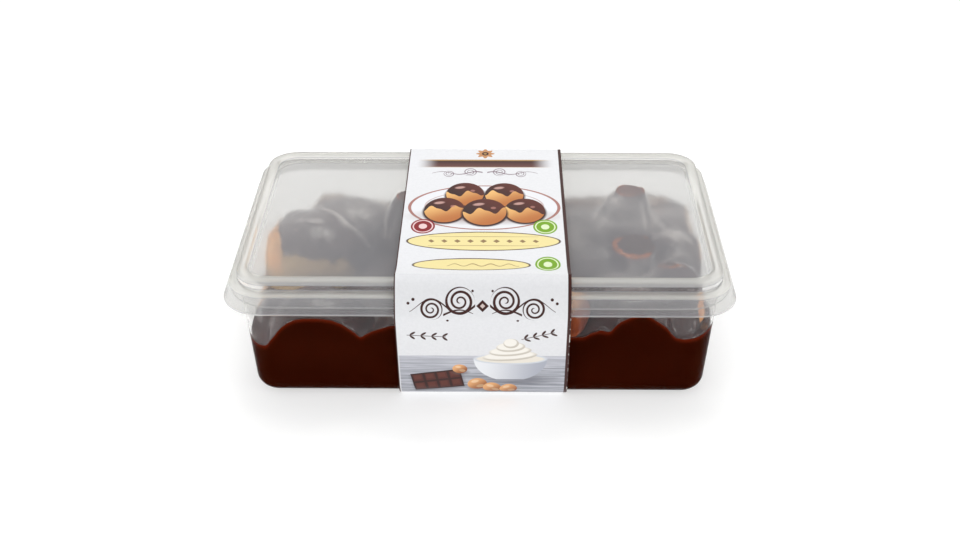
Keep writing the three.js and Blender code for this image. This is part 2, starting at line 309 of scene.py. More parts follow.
world = bpy.data.worlds.new("studio")
sc.world = world
world.use_nodes = True
wn = world.node_tree
wn.nodes.clear()
wo = wn.nodes.new("ShaderNodeOutputWorld")
wb = wn.nodes.new("ShaderNodeBackground")
wc = wn.nodes.new("ShaderNodeTexCoord")
ws = wn.nodes.new("ShaderNodeSeparateXYZ")
wr = wn.nodes.new("ShaderNodeMapRange")
wn.links.new(wc.outputs["Generated"], ws.inputs[0])
wn.links.new(ws.outputs[2], wr.inputs[0])
wr.inputs[1].default_value, wr.inputs[2].default_value = 0.0, 0.9
wr.inputs[3].default_value, wr.inputs[4].default_value = 0.72, 0.62
wn.links.new(wr.outputs[0], wb.inputs["Strength"])
wb.inputs["Color"].default_value = (1.0, 1.0, 1.0, 1)
wn.links.new(wb.outputs[0], wo.inputs[0])


def softbox(name, at, look, size, power, size_y=None, color=(1, 1, 1)):
    d = bpy.data.lights.new(name, "AREA")
    d.shape = "RECTANGLE"
    d.size, d.size_y = size, size_y or size
    d.energy = power
    d.color = color
    o = bpy.data.objects.new(name, d)
    sc.collection.objects.link(o)
    o.location = at
    o.rotation_euler = (Vector(look) - Vector(at)).to_track_quat("-Z", "Y").to_euler()
    return o


softbox("top_soft", (0.02, 0.30, 0.78), (0, 0, 0.03), 0.42, 2.7, 0.26)
softbox("left_soft", (-0.70, -0.45, 0.42), (0, 0, 0.03), 0.45, 1.3, 0.35)
softbox("right_soft", (0.70, -0.45, 0.42), (0, 0, 0.03), 0.45, 1.1, 0.35)


# ------------------------------------------------------------------ plastic
def plastic(name, rough, haze_color, tint, ior, through=0.3, lamp_share=0.8):
    """One face of a thin sheet: light bends through it and some is scattered. The attribute haze says how much. Lamps reach through it."""
    g = Nodes(name)
    glass = g.node("ShaderNodeBsdfGlass")
    glass.inputs["IOR"].default_value = ior
    glass.inputs["Roughness"].default_value = rough
    at = g.node("ShaderNodeAttribute", attribute_name="haze")
    cloud = S(g, at.outputs["Fac"])
    # thin haze looks bluish, thick haze is milky; the thicker sheet also holds back more light
    milky = g.mix(g.range(cloud, 0.30, 0.43), haze_color, (0.83, 0.822, 0.785))
    held = g.mix(g.range(cloud, 0.06, 0.22), (0.98, 0.98, 0.975), tint)
    g.put(glass.inputs["Color"], g.mix(g.range(cloud, 0.362, 0.385), held, (0.885, 0.88, 0.855)))
    diff = g.node("ShaderNodeBsdfDiffuse")
    g.put(diff.inputs["Color"], milky)
    tran = g.node("ShaderNodeBsdfTranslucent")
    g.put(tran.inputs["Color"], milky)
    hz = g.node("ShaderNodeMixShader")
    hz.inputs[0].default_value = through
    g.nt.links.new(diff.outputs[0], hz.inputs[1])
    g.nt.links.new(tran.outputs[0], hz.inputs[2])
    body = g.node("ShaderNodeMixShader")
    g.put(body.inputs[0], cloud)
    g.nt.links.new(glass.outputs[0], body.inputs[1])
    g.nt.links.new(hz.outputs[0], body.inputs[2])
    path = g.node("ShaderNodeLightPath")
    clear = g.node("ShaderNodeBsdfTransparent")
    clear.inputs["Color"].default_value = (lamp_share, lamp_share, lamp_share * 0.985, 1)
    fin = g.node("ShaderNodeMixShader")
    g.nt.links.new(path.outputs["Is Shadow Ray"], fin.inputs[0])
    g.nt.links.new(body.outputs[0], fin.inputs[1])
    g.nt.links.new(clear.outputs[0], fin.inputs[2])
    return g.surface(fin.outputs[0])


LID_HAZE = (0.84, 0.85, 0.915)
tub_out = plastic("tub_outer_face", 0.0, (0.8, 0.82, 0.88), (0.965, 0.96, 0.94), 1.06)
tub_in = plastic("tub_inner_face", 0.14, (0.8, 0.82, 0.88), (0.965, 0.96, 0.94), 1.06)
lid_out = plastic("lid_outer_face", 0.02, LID_HAZE, (0.75, 0.743, 0.71), 1.22, lamp_share=0.8)
lid_in = plastic("lid_inner_face", 0.20, LID_HAZE, (0.90, 0.90, 0.88), 1.22, lamp_share=0.76)


# ------------------------------------------------------------------ tub
def tub_at(z, d=0.0):
    t = (z - TUB_BASE_Z) / (TUB_TOP_Z - TUB_BASE_Z)
    a = TUB_BASE_A + (TUB_TOP_A - TUB_BASE_A) * t
    b = TUB_BASE_B + (TUB_TOP_B - TUB_BASE_B) * t
    r = TUB_BASE_R + (TUB_TOP_R - TUB_BASE_R) * t
    return a - d, b - d, r - d * 0.6


def bowl_levels(d, top_z, walls=6, bends=9):
    """(height, inset) down the wall and round the fillet, from the base up, for a face moved inwards by d."""
    f, z0 = TUB_FILLET - d, TUB_BASE_Z + d
    out = []
    for k in range(bends + 1):
        s = math.radians(6 + 84 * k / bends)
        z = z0 if k == 0 else z0 + f * (1 - math.cos(s))
        out.append((z, d + f * (1 - math.sin(s))))
    z1 = out[-1][0]
    for k in range(1, walls + 1):
        out.append((z1 + (top_z - z1) * k / walls, d))
    return out


def bowl(d, top_z, **kw):
    rr = []
    for z, ins in bowl_levels(d, top_z):
        a, b, r = tub_at(z, ins)
        rr.append(ring(a, b, max(r, 1.2), z, **kw))
    return rr


def build_tub():
    a, b, r = tub_at(TUB_TOP_Z)
    under, lip = TUB_TOP_Z - FLANGE_T, TUB_TOP_Z - LIP_DROP
    o, fl = FLANGE_OUT, 0.5
    outer = bowl(0, under - 0.5, n=26)
    R = lambda da, z: ring(a + da, b + da, r + da, z, n=26)
    turn = [(0.15, under - 0.12, 0.01), (0.5, under, 0.05), (o - FLANGE_T - 0.4, under, 0.07), (o - FLANGE_T - 0.05, under - 0.35, 0.08),
            (o - FLANGE_T + fl * 0.5, (under + lip) / 2, 0.06), (o - FLANGE_T + fl - 0.05, lip + 0.6, 0.06), (o - FLANGE_T + fl, lip + 0.1, 0.3),
            (o - FLANGE_T + fl + 0.1, lip, 0.42), (o + fl - 0.1, lip, 0.42), (o + fl, lip + 0.1, 0.42), (o + fl - 0.03, lip + 0.45, 0.10),
            (o + fl * 0.5, (under + lip) / 2, 0.05), (o + 0.02, TUB_TOP_Z - 0.6, 0.06), (o - 0.15, TUB_TOP_Z - 0.2, 0.08), (o - 0.55, TUB_TOP_Z, 0.08),
            (0.2, TUB_TOP_Z, 0.08), (-0.25, TUB_TOP_Z - 0.12, 0.07), (-0.55, TUB_TOP_Z - 0.5, 0.06)]
    mid = [R(da, z) for da, z, _ in turn]
    inner = bowl(TUB_T, TUB_TOP_Z - 1.0, n=26)[::-1]
    rings = outer + mid + inner
    slots = [0] * (len(outer) + len(mid) - 2) + [1] * (len(inner) + 1)
    haze = [0.0] * len(outer) + [h for _, _, h in turn] + [0.055] * len(inner)
    v, f, m, h = loft(rings, slots, (0, 1), haze)
    ob = make_piece("tub_shell", v, f, [tub_out, tub_in], m, attrs={"haze": h})
    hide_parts("tub")
    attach(ob, "root")
    return ob


# ------------------------------------------------------------------ lid
PANEL_HAZE = 0.235


def build_lid():
    upper = [
        (PANEL_IN + 0.5, PANEL_Z), (PANEL_IN - 0.05, PANEL_Z + 0.05), (PANEL_IN - 0.4, PANEL_Z + 0.3),
        (PANEL_IN - 0.6, PANEL_Z + 0.75), (PANEL_IN - 0.85, RIM_Z - 1.4), (PANEL_IN - 1.02, RIM_Z - 0.75),
        (PANEL_IN - 1.35, RIM_Z - 0.25), (RIM_OUT - 0.1, RIM_Z - 0.02), (RIM_OUT - 0.8, RIM_Z),
        (RIM_IN + 0.4, RIM_Z), (RIM_IN - 0.1, RIM_Z - 0.08), (RIM_IN - 0.6, RIM_Z - 0.4), (RIM_IN - 0.85, RIM_Z - 0.95),
        (RIM_IN - 0.98, RIM_Z - 1.8), (RIM_IN - 1.0, RIM_Z - 2.5), (RIM_IN - 1.04, RIM_Z - 3.4), (LEDGE_W + 0.12, LEDGE_Z + 0.7), (LEDGE_W - 0.02, LEDGE_Z + 0.22), (LEDGE_W - 0.4, LEDGE_Z + 0.02),
        (0.95, LEDGE_Z), (0.45, LEDGE_Z - 0.1), (0.12, LEDGE_Z - 0.4), (0.0, LEDGE_Z - 0.9),
        (-SKIRT_FLARE * 0.55, (LEDGE_Z + SKIRT_Z) / 2 - 0.5), (-SKIRT_FLARE + 0.12, SKIRT_Z + 0.9), (-SKIRT_FLARE, SKIRT_Z + 0.35),
        (-SKIRT_FLARE + 0.1, SKIRT_Z),
    ]
    t = LID_T
    lower = [
        (-SKIRT_FLARE + t - 0.05, SKIRT_Z), (-SKIRT_FLARE + t + 0.05, SKIRT_Z + 0.3), (-SKIRT_FLARE * 0.55 + t, (LEDGE_Z + SKIRT_Z) / 2 - 0.5),
        (0.05 + t, LEDGE_Z - 1.1), (0.35 + t, LEDGE_Z - t - 0.1), (0.8 + t, LEDGE_Z - t),
        (LEDGE_W + 0.1, LEDGE_Z - t), (LEDGE_W + 0.5, LEDGE_Z - t + 0.25), (LEDGE_W + 0.7, LEDGE_Z + 0.3),
        (RIM_IN - 0.95 + t, RIM_Z - 1.8), (RIM_IN - 0.5 + t * 0.8, RIM_Z - t - 0.5), (RIM_IN, RIM_Z - t - 0.1), (RIM_IN + 0.5, RIM_Z - t),
        (RIM_OUT - 0.9, RIM_Z - t), (RIM_OUT - 0.3, RIM_Z - t - 0.12), (PANEL_IN - 1.3 - t * 0.8, RIM_Z - t - 0.7),
        (PANEL_IN - 0.9 - t, RIM_Z - 1.6), (PANEL_IN - 0.62 - t, PANEL_Z + 0.3), (PANEL_IN - 0.5 - t * 0.6, PANEL_Z - t + 0.25),
        (PANEL_IN - 0.3, PANEL_Z - t + 0.02), (PANEL_IN + 0.5, PANEL_Z - t),
    ]
    rings = [ring(LID_A - i, LID_B - i, LID_R - i * 0.75, z, n=30) for i, z in upper + lower]
    slots = [0] * (len(upper) - 1) + [1] * len(lower)

    def haze_at(ins, z, outside):
        if ins > PANEL_IN - 1.1 and PANEL_Z + 0.5 < z < RIM_Z - 0.9:
            return 0.15 if outside else 0.03
        if ins > PANEL_IN - 1.0:
            return PANEL_HAZE if outside else 0.04
        if z > RIM_Z - 0.9:
            return 0.44 if outside else 0.08
        if z > RIM_Z - 2.2:
            return 0.37 if outside else 0.05
        if z > LEDGE_Z + 0.8:
            return 0.075 if outside else 0.03
        if ins > 1.9:
            return 0.40 if outside else 0.08
        if ins > 0:
            return 0.50 if outside else 0.12
        if z < SKIRT_Z + 0.4:
            return 0.38 if outside else 0.10
        return 0.19 if outside else 0.05

    haze = [haze_at(i, z, True) for i, z in upper] + [haze_at(i, z, False) for i, z in lower]
    v, f, m, h = loft(rings, slots, (0, 1), haze, cap_steps=14)
    h = np.where(np.abs(h - PANEL_HAZE) < 1e-6, PANEL_HAZE + 0.02 * smooth((v[:, 1] + 22) / 60), h)
    ob = make_piece("lid_shell", v, f, [lid_out, lid_in], m, attrs={"haze": h})
    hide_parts("lid")
    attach(ob, "root")
    return ob


build_tub()
build_lid()

# ------------------------------------------------------------------ contents
CONE_1 = ((52.4, 1.0), (50.0, 1.13), (47.0, 1.34), (44.0, 1.5), (40.0, 1.62), (36.0, 1.95), (32.0, 2.6), (20.0, 4.2))
CONE_2 = ((52.4, 1.0), (49.0, 1.05), (45.0, 1.14), (42.0, 1.3), (38.0, 1.7), (33.0, 2.4), (20.0, 3.6))
CONE_3 = ((52.4, 1.0), (50.0, 1.4), (46.7, 1.9), (43.0, 2.4), (39.6, 2.8), (37.2, 3.0), (30.0, 3.9), (20.0, 5.5))
SPIKE = ((52.6, 1.0), (51.5, 1.6), (48.0, 2.6), (20.0, 8.0))
PUFFS = [
    dict(name="profiterole_left_end", at=(-71, 10, 29), half=(24, 23.5, 18.5), seed=0.4),
    dict(name="profiterole_front_left", at=(-64.5, -41, 22.5), half=(21, 22, 21), seed=1.7),
    dict(name="profiterole_back_left", at=(-58, 41, 21), half=(21.5, 21.5, 18), seed=2.9),
    dict(name="profiterole_back_centre", at=(-29, 22, 24), half=(17, 18, 17), seed=3.6, tips=((-32.6, 22, 3.9, 4.4, CONE_3),)),
    dict(name="profiterole_front_centre", at=(-21, -42, 22), half=(19, 20, 18), seed=5.2),
    dict(name="profiterole_front_choux", at=(26.5, -40.5, 36.5), half=(17, 20, 15.5), seed=0.9),
    dict(name="profiterole_front_right", at=(61.5, -32, 26.5), half=(20, 23.5, 19), seed=4.1, tips=((62, -21, 8.7, 9.8, CONE_2),),
         lobe=((61.5, -44, 31), (11, 13, 14))),
    dict(name="profiterole_back_right", at=(62, 28, 25), half=(21, 21, 18.5), seed=2.2, tips=((64.2, 27.5, 6.4, 5.2, CONE_1),)),
    dict(name="profiterole_right_end", at=(83, 3, 27), half=(14, 17, 17), seed=5.9),
    dict(name="profiterole_right_corner", at=(79, -35, 33.4), half=(10.5, 13, 18.2), seed=3.1,
         tips=((74.4, -35.6, 3.6, 1.5, SPIKE), (80.4, -35.8, 0.9, 0.8, SPIKE))),
]
LID_UNDER = PANEL_Z - LID_T

# heights of the cream along the front and the back wall (x, z)
FRONT_LINE = ((-95, 24.2), (-88.6, 24.6), (-84.6, 25.4), (-83.2, 26.4), (-81.3, 29.0), (-77.8, 34.5), (-75.2, 37.2), (-71.9, 39.2), (-68, 39.9), (-61.8, 39.9),
              (-57.2, 39.0), (-53.4, 36.9), (-47.5, 31.2), (-46.4, 30.5), (-45, 31.7), (-41.9, 33.7), (-34.7, 36.3), (-26, 37.5), (-14, 36),
              (-4, 31), (8, 30), (24, 31), (41.3, 31.2), (43.6, 33.2), (47.4, 34.7), (50.9, 33.6), (54.9, 39.2), (57.9, 41.0), (62.4, 43.3),
              (64.7, 42.7), (68, 40.3), (72.9, 35.9), (76.4, 31.2), (79.6, 30.3), (84.2, 30.5), (87.2, 30.9), (90, 32.6), (95, 35.5))
BACK_LINE = ((-95, 22), (-84, 23.5), (-79.6, 27.3), (-74.7, 32.6), (-72.3, 34.4), (-69.5, 34.6), (-60.5, 33.0), (-36.3, 30.0), (-10, 30.5),
             (39, 30.6), (60, 30.8), (76, 31.6), (81, 31.6), (86, 30.6), (90, 29.0), (95, 26))
# how far up the back wall the cream has smeared
SMEAR_LINE = ((-95, 22), (-84, 24.0), (-79.6, 28.4), (-74.7, 34.6), (-72.3, 36.6), (-69.5, 36.8), (-60.5, 35.3), (-36.3, 32.2), (-10, 33.5),
              (39, 35.3), (60, 35.6), (76, 36.6), (81, 36.0), (86, 36.0), (90, 35.5), (95, 34))
# soft folds in the coat: the line they follow, their height, half width and how strong a painted highlight they get
FOLDS = ((((60.2, 24.4), (57.1, 23.8), (53.4, 20.8), (50.2, 17.3)), 0.9, 1.1, 0.75),
         (((68.8, 23.6), (70.5, 20.5), (71.1, 17.1)), 0.7, 1.0, 0.6),
         (((72.7, 29.1), (76.1, 22.8), (81.3, 23.2), (86.1, 21.8)), 1.4, 1.4, 0.85),
         (((74.8, 9.9), (80.1, 4.8), (84.8, 1.1), (88.7, -3.4)), 1.5, 1.9, 0.6),
         (((71.8, -11.5), (71.3, -17.0), (72.3, -22.0)), 0.8, 0.9, 0.8),
         (((73.2, -9.8), (80.0, -8.8), (87.6, -8.0)), 1.2, 1.9, 0.38),
         (((48.5, 9.5), (51.0, 8.3), (55.5, 5.0)), 1.0, 1.4, 0.32),
         (((77.5, 33.0), (83.0, 29.0), (87.5, 25.5)), 0.9, 1.6, 0.42),
         (((74.0, 18.5), (79.5, 14.8), (86.5, 12.6)), 0.9, 1.2, 0.45),
         (((70.5, 8.5), (76.7, 4.5), (81.2, -0.5), (84.0, -4.0)), 0.9, 1.1, 0.5),
         (((-84.0, 10.5), (-76.0, 8.0), (-66.0, 8.5)), 0.7, 1.5, 0.22),
         (((-76.5, 29.5), (-74.2, 26.5), (-64.5, 17.6), (-56.7, 8.9), (-46.3, 5.6)), 1.5, 1.3, 0.8),
         (((-74.6, 43.3), (-69.9, 48.0), (-55.0, 45.0), (-39.7, 42.0)), 0.8, 1.9, 0.42),
         (((-87.1, 19.0), (-81.0, 23.5), (-75.0, 27.5)), 1.1, 1.2, 0.55),
         (((-37.3, 26.8), (-41.2, 19.6), (-41.8, 14.2), (-39.1, 12.6)), 0.8, 0.9, 0.55))


def off_line(x, y, pts):
    """Squared distance from a line of points."""
    best = np.full(np.shape(x), 1e9)
    for (x0, y0), (x1, y1) in zip(pts, pts[1:]):
        dx, dy = x1 - x0, y1 - y0
        t = np.clip(((x - x0) * dx + (y - y0) * dy) / (dx * dx + dy * dy), 0, 1)
        best = np.minimum(best, (x - x0 - t * dx) ** 2 + (y - y0 - t * dy) ** 2)
    return best


def fade_ends(x, y, pts):
    """1 along the middle of a line, less towards its two ends."""
    (x0, y0), (x1, y1) = pts[0], pts[-1]
    dx, dy = x1 - x0, y1 - y0
    t = np.clip(((x - x0) * dx + (y - y0) * dy) / (dx * dx + dy * dy), 0, 1)
    return 0.35 + 0.65 * np.sin(math.pi * t) ** 0.7


def level(x, y):
    to_back = smooth((y + 54) / 108)
    to_right = smooth((x + 90) / 125)
    z = 27 + 3.6 * to_right + 3.4 * to_back * to_right
    z = z + 1.2 * np.sin(x / 9.5 + 0.8) * np.cos(y / 11)
    return z


def around(x, y, at, half, seed=0.0):
    ang = np.arctan2((y - at[1]) / half[1], (x - at[0]) / half[0])
    s = 1 + 0.035 * (np.sin(3 * ang + seed) + 0.7 * np.cos(2 * ang + 2.1 * seed))
    rho = np.sqrt(((x - at[0]) / half[0]) ** 2 + ((y - at[1]) / half[1]) ** 2) / s
    return ang, rho


def dome(x, y, at, half, grow=0.0, seed=0.0):
    ang, rho = around(x, y, at, (half[0] + grow, half[1] + grow), seed)
    cut = 0.94
    top = at[2] + (half[2] + grow) * np.sqrt(np.clip(1 - np.minimum(rho, cut) ** 2, 0, 1))
    return top - np.maximum(rho - cut, 0) * 0.5 * (half[0] + half[1]) * 3.2


def tip_height(x, y, tip):
    tx, ty, rx, ry, prof = tip
    ang = np.arctan2((y - ty) / ry, (x - tx) / rx)
    rho = np.sqrt(((x - tx) / rx) ** 2 + ((y - ty) / ry) ** 2)
    rho = rho / (1 + 0.05 * np.sin(3 * ang + tx) + 0.025 * np.sin(7 * ang + 2 * ty))
    if 5 < rx < 8:
        rho = rho / (1 + 0.30 * np.maximum(0, -np.cos(ang)) * smooth((rho - 1.0) / 0.5))
    zs = [53.4, 53.4] + [p[0] for p in prof]
    rs = [0.0, 0.95] + [p[1] for p in prof]
    return np.interp(rho, rs, zs), rho


def soft_max(parts, k=1.1):
    p = np.stack(parts)
    m = p.max(0)
    return m + k * np.log(np.exp((p - m) / k).sum(0))


def bare_mask(q, x, y):
    """1 where the coat covers the puff, 0 where the baked crust is bare."""
    name = q["name"]
    ang, rho = around(x, y, q["at"], q["half"], q["seed"])
    deg = np.degrees(ang)
    if name == "profiterole_left_end":
        lim = np.interp(deg, (-180, -155, -138, -125, -112, -95, -77, -54, -41, -28, 100, 125, 142, 160, 180),
                        (0.66, 0.70, 0.78, 0.86, 0.86, 0.86, 0.88, 0.92, 0.98, 1.2, 1.5, 1.0, 0.70, 0.64, 0.66))
    elif name == "profiterole_front_choux":
        lim = np.interp(deg, (-180, -150, -120, -90, -60, -25, 0, 30, 180), (1.2, 0.8, 0.45, 0.32, 0.45, 0.7, 1.0, 1.4, 1.4))
    elif name == "profiterole_right_corner":
        lim = np.interp(deg, (-180, -90, -55, -38, -10, 15, 35, 180), (1.4, 1.4, 1.1, 0.88, 0.82, 0.9, 1.4, 1.4))
    else:
        return np.ones_like(rho)
    lim = lim + 0.022 * np.sin(x / 1.6 + y / 2.1) + 0.014 * np.sin(x / 0.7 - y / 1.1)
    return smooth((lim - rho) / 0.05 + 0.5)


def raw_height(x, y):
    parts = [level(x, y)]
    for q in PUFFS:
        h = dome(x, y, q["at"], q["half"], 0.9, q["seed"])
        low = 12.0
        m = bare_mask(q, x, y)
        parts.append(low + (h - low) * m)
        if "lobe" in q:
            parts.append(dome(x, y, q["lobe"][0], q["lobe"][1], 0.6, q["seed"]))
    # cream heaped in two corners and against the back wall
    parts.append(dome(x, y, (79, 34, 20), (13.5, 17, 15.5), 0.0, 1.0))
    parts.append(dome(x, y, (-81.5, -32, 24), (9.5, 14, 14), 0.0, 1.0))
    parts.append(np.interp(x, *zip(*BACK_LINE)) - 0.22 * np.clip(53 - y, 0, 8) - 0.95 * np.clip(45 - y, 0, 60))
    z = soft_max(parts)
    for pts, h, w, _ in FOLDS:
        z = z + h * fade_ends(x, y, pts) * np.exp(-off_line(x, y, pts) / (w * w))
    return z


def painted_highlight(x, y):
    """Painted highlight for the wet coat, later mixed into its colour as a paler tone: along the folds, on the drawn-up
    cones and more towards the back.
    """
    v = 0.13 * smooth((y - 2) / 45) + 0.05 * smooth((y + 42) / 16) * smooth((6 - x) / 20) + 0.12 * smooth((x - 66) / 20) * smooth((y + 30) / 30)
    for px, py, rx, ry, s in ((46, 23, 13, 13, 0.50), (-77, 12, 13, 12, 0.24), (62, -36, 12, 9, 0.18), (-58, 36, 20, 11, 0.28), (44, 44, 14, 7, 0.40), (82, 44, 12, 8, 0.26), (42, 14, 9, 12, 0.10)):
        v = v + s * np.exp(-((x - px) / rx) ** 2 - ((y - py) / ry) ** 2)
    for q in PUFFS:
        for tx, ty, rx, ry, _ in q.get("tips", ()):
            if rx < 5:
                continue
            rho = np.hypot((x - tx) / rx, (y - ty) / ry)
            v = v + (0.50 if ty > 0 else 0.22) * smooth((rho - 1.0) / 0.15) * (1 - smooth((rho - 1.25) / (1.7 if ty > 0 else 0.9)))
    for pts, _, w, s in FOLDS:
        v = np.maximum(v, v + 1.35 * s * fade_ends(x, y, pts) * np.exp(-off_line(x, y, pts) / (w * w * 0.7)))
    # painted shade: hollows keep little of the painted highlight and stay dark
    for dx, dy, r in ((81.5, 29.5, 4.0), (85.5, 7.5, 3.6), (57.0, 11.5, 4.5)):
        v = v * (1 - 0.8 * np.exp(-((x - dx) ** 2 + (y - dy) ** 2) / (r * r)))
    return np.clip(v, 0, 1)


def wall_line(x, line):
    """A smooth line through the given heights."""
    px, pz = zip(*line)
    px, pz = np.array(px, float), np.array(pz, float)
    z = np.zeros_like(x)
    for o, w in ((-0.6, 0.2), (-0.2, 0.3), (0.2, 0.3), (0.6, 0.2)):
        z = z + w * np.interp(x + o, px, pz)
    return z


def cream_height(x, y):
    x, y = np.asarray(x, float), np.asarray(y, float)
    z = raw_height(x, y)
    near = 54.4
    z = z + (wall_line(x, FRONT_LINE) - raw_height(x, np.full_like(x, -near))) * np.exp(-((y + near) / 8.0) ** 2)
    z = z + (wall_line(x, BACK_LINE) - raw_height(x, np.full_like(x, near))) * np.exp(-((y - near) / 6.0) ** 2)
    parts = [z]
    for q in PUFFS:
        for tip in q.get("tips", ()):
            parts.append(tip_height(x, y, tip)[0])
    z = soft_max(parts, 0.8)
    # a smear that climbs the back wall and the ends
    a, b, r = 92.45, 54.15, 12.2
    in_x, in_y = np.maximum(np.abs(x) - (a - r), 0), np.maximum(np.abs(y) - (b - r), 0)
    gap = np.clip(r - np.hypot(in_x, in_y), 0, 60)
    wave = 0.35 * np.sin(x / 3.7) + 0.25 * np.sin(x / 1.3 + 1.0) + 0.5 * np.sin(y / 2.9)
    film = np.exp(-gap / 0.8)
    z = z + np.maximum(wall_line(x, SMEAR_LINE) + wave - z, 0) * film * smooth((y - 38) / 6)
    side = np.where(x > 0, 35.5, 31.0) + wave
    z = z + np.maximum(side - z, 0) * film * smooth((y + np.where(x > 0, 4, 20)) / 10) * smooth((50 - y) / 8) * (in_x > 0)
    return np.minimum(z, LID_UNDER + 0.3)


g = Nodes("chocolate_cream")
co = g.objcoord()
dp = S(g, g.node("ShaderNodeAttribute", attribute_name="depth").outputs["Fac"])
thin = S(g, g.node("ShaderNodeAttribute", attribute_name="thin").outputs["Fac"])
n1 = g.noise(co, 60.0, 4.0)
n2 = g.noise(co, 420.0, 3.0)
free = g.range(dp, 0.0, 0.25, 1.0, 0.0)            # 1 on the open surface, 0 against the wall
edge = g.range(dp + n1 * 0.9, 0.7, 2.9, 1.0, 0.0) * g.range(dp, 0.0, 0.3)
base = g.mix(g.range(n1, 0.35, 0.7), (0.0250, 0.0024, 0.0004), (0.0310, 0.0034, 0.0007))
col = g.mix(edge, base, (0.110, 0.0110, 0.0028))
# painted highlight: on the open surface the coat's colour is mixed towards a pale grey-brown wherever the highlight
# attribute is high
painted_highlight_fac = S(g, g.node("ShaderNodeAttribute", attribute_name="painted_highlight").outputs["Fac"])
col = g.mix(painted_highlight_fac * g.range(n1, 0.3, 0.7, 0.8, 1.1) * free, col, (0.68, 0.63, 0.61))
# painted light: where the coat thins against the wall it is mixed to a pale orange-brown, as if lit through from
# behind; the thin smear itself is real geometry
film = g.range(thin + (n1 - 0.5) * 0.7, 0.15, 0.85)
col = g.mix(film, col, g.mix(g.range(n1, 0.36, 0.52), (0.62, 0.38, 0.26), (0.87, 0.71, 0.60)))
# where the coat touches the lid: browner, with an uneven orange-brown rim
sep = g.node("ShaderNodeSeparateXYZ")
g.put(sep.inputs[0], co)
px, py, pz = (S(g, sep.outputs[i]) * 1000.0 for i in range(3))
n4 = g.noise(co, 330.0, 4.0, 0.6)
rim, flat, pale = None, None, None
for q in PUFFS:
    for tip in q.get("tips", ()):
        ex, ey = (px - tip[0]) * (1.0 / tip[2]), (py - tip[1]) * (1.0 / tip[3])
        rho = (ex * ex + ey * ey).sqrt() + (n4 - 0.5) * (0.8 if tip[2] > 4 else 0.6)
        side = ex * -0.10 + ey * -0.12 if tip[2] > 8 else ex * 0.0
        r1 = g.range(rho + side, 0.80, 0.90) * g.range(rho, 1.25, 1.45, 1.0, 0.0)
        f1 = g.range(rho, 1.1, 1.3, 1.0, 0.0)
        rim = r1 if rim is None else rim.max(r1)
        flat = f1 if flat is None else flat.max(f1)
        if tip[1] > 0:
            pale = f1 if pale is None else pale.max(f1)
high = g.range(pz, 52.3, 52.9)
col = g.mix(flat * high, col, g.mix(pale, (0.062, 0.036, 0.030), (0.17, 0.09, 0.068)))
col = g.mix(rim * high * g.range(n2, 0.3, 0.7, 0.6, 1.0), col, (0.40, 0.120, 0.030))
p = g.principled(Base_Color=col, Roughness=0.3, Specular_IOR_Level=0.5)
g.put(p.inputs["Specular IOR Level"], free * 0.8)
g.put(p.inputs["Normal"], g.bump(n2 * free, 0.05, 0.0004, g.bump(n1 * free, 0.25, 0.0014)))
g.put(p.inputs["Roughness"], g.range(n2, 0.3, 0.7, 0.16, 0.28, "LINEAR"))
choc = g.surface(p.outputs[0])


def build_cream():
    d = TUB_T * 0.5
    kw = dict(n=12, mx=190, my=104)
    az, bz, rz = tub_at(33.0, d)
    ref = ring(az, bz, rz, 0, **kw)
    n = len(ref)
    bd = ref.copy()
    z = np.full(n, 33.0)
    for _ in range(4):
        z = cream_height(bd[:, 0], bd[:, 1])
        lo, hi = ring(*tub_at(20.0, d), 0, **kw), ring(*tub_at(53.0, d), 0, **kw)
        t = ((z - 20.0) / 33.0)[:, None]
        bd = lo + (hi - lo) * t
    bd[:, 2] = z
    N = 78
    rows = []
    for i in range(N + 1):
        s = 0.012 + (1 - 0.012) * i / N
        rr = ring(az - bz * (1 - s), bz * s, rz * s, 0, **kw)
        p = rr + (bd - ref) * (s ** 6)
        if i < N:
            p[:, 2] = cream_height(p[:, 0], p[:, 1])
        else:
            p = bd.copy()
        rows.append(p)
    dep = [np.zeros(n) for _ in rows]
    thin, painted_highlight_rows = [], []
    for p in rows:
        a3, b3, _ = tub_at(p[:, 2], d)
        gap = np.minimum(b3 - p[:, 1], a3 - np.abs(p[:, 0]))
        gap = np.where(p[:, 1] < np.where(p[:, 0] > 0, -6, -28), 99.0, gap)
        thin.append(1 - smooth(gap / 2.6))
        # how much painted highlight each point of the top surface gets
        painted_highlight_rows.append(painted_highlight(p[:, 0], p[:, 1]))
    # the wall faces, a little way into the tub's wall
    for k, drop in enumerate((0.3, 0.8, 1.5, 2.6, 4.5, 7.5, 11.0)):
        zz = bd[:, 2] - drop
        t = ((zz - 20.0) / 33.0)[:, None]
        p = lo + (hi - lo) * t
        p[:, 2] = zz
        rows.append(p)
        dep.append(np.full(n, drop))
    for zl, ins in bowl_levels(d, 10.0, walls=1)[::-1]:
        a, b, r = tub_at(zl, ins)
        rows.append(ring(a, b, max(r, 1.2), zl, **kw))
        dep.append(np.full(n, 20.0))
    base_ring = rows[-1]
    for s in (0.75, 0.45, 0.15, 0.02):
        span = np.abs(base_ring).max(0)
        f = np.array([(span[0] - span[1] * (1 - s)) / span[0], s, 1.0])
        rows.append(base_ring * f)
        dep.append(np.full(n, 20.0))
    while len(thin) < len(rows):
        thin.append(np.zeros(n))
        painted_highlight_rows.append(np.zeros(n))
    v = np.vstack(rows)
    faces = []
    for i in range(len(rows) - 1):
        a0, b0 = i * n, (i + 1) * n
        for k in range(n):
            j = (k + 1) % n
            faces.append((a0 + k, b0 + k, b0 + j, a0 + j))
    faces.append(tuple(range(n)))
    faces.append(tuple((len(rows) - 1) * n + k for k in range(n))[::-1])
    ob = make_piece("chocolate_fill", v, faces, [choc], attrs={"depth": np.concatenate(dep), "thin": np.concatenate(thin), "painted_highlight": np.concatenate(painted_highlight_rows)})
    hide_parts("chocolate_cream")
    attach(ob, "root")
    return ob


build_cream()

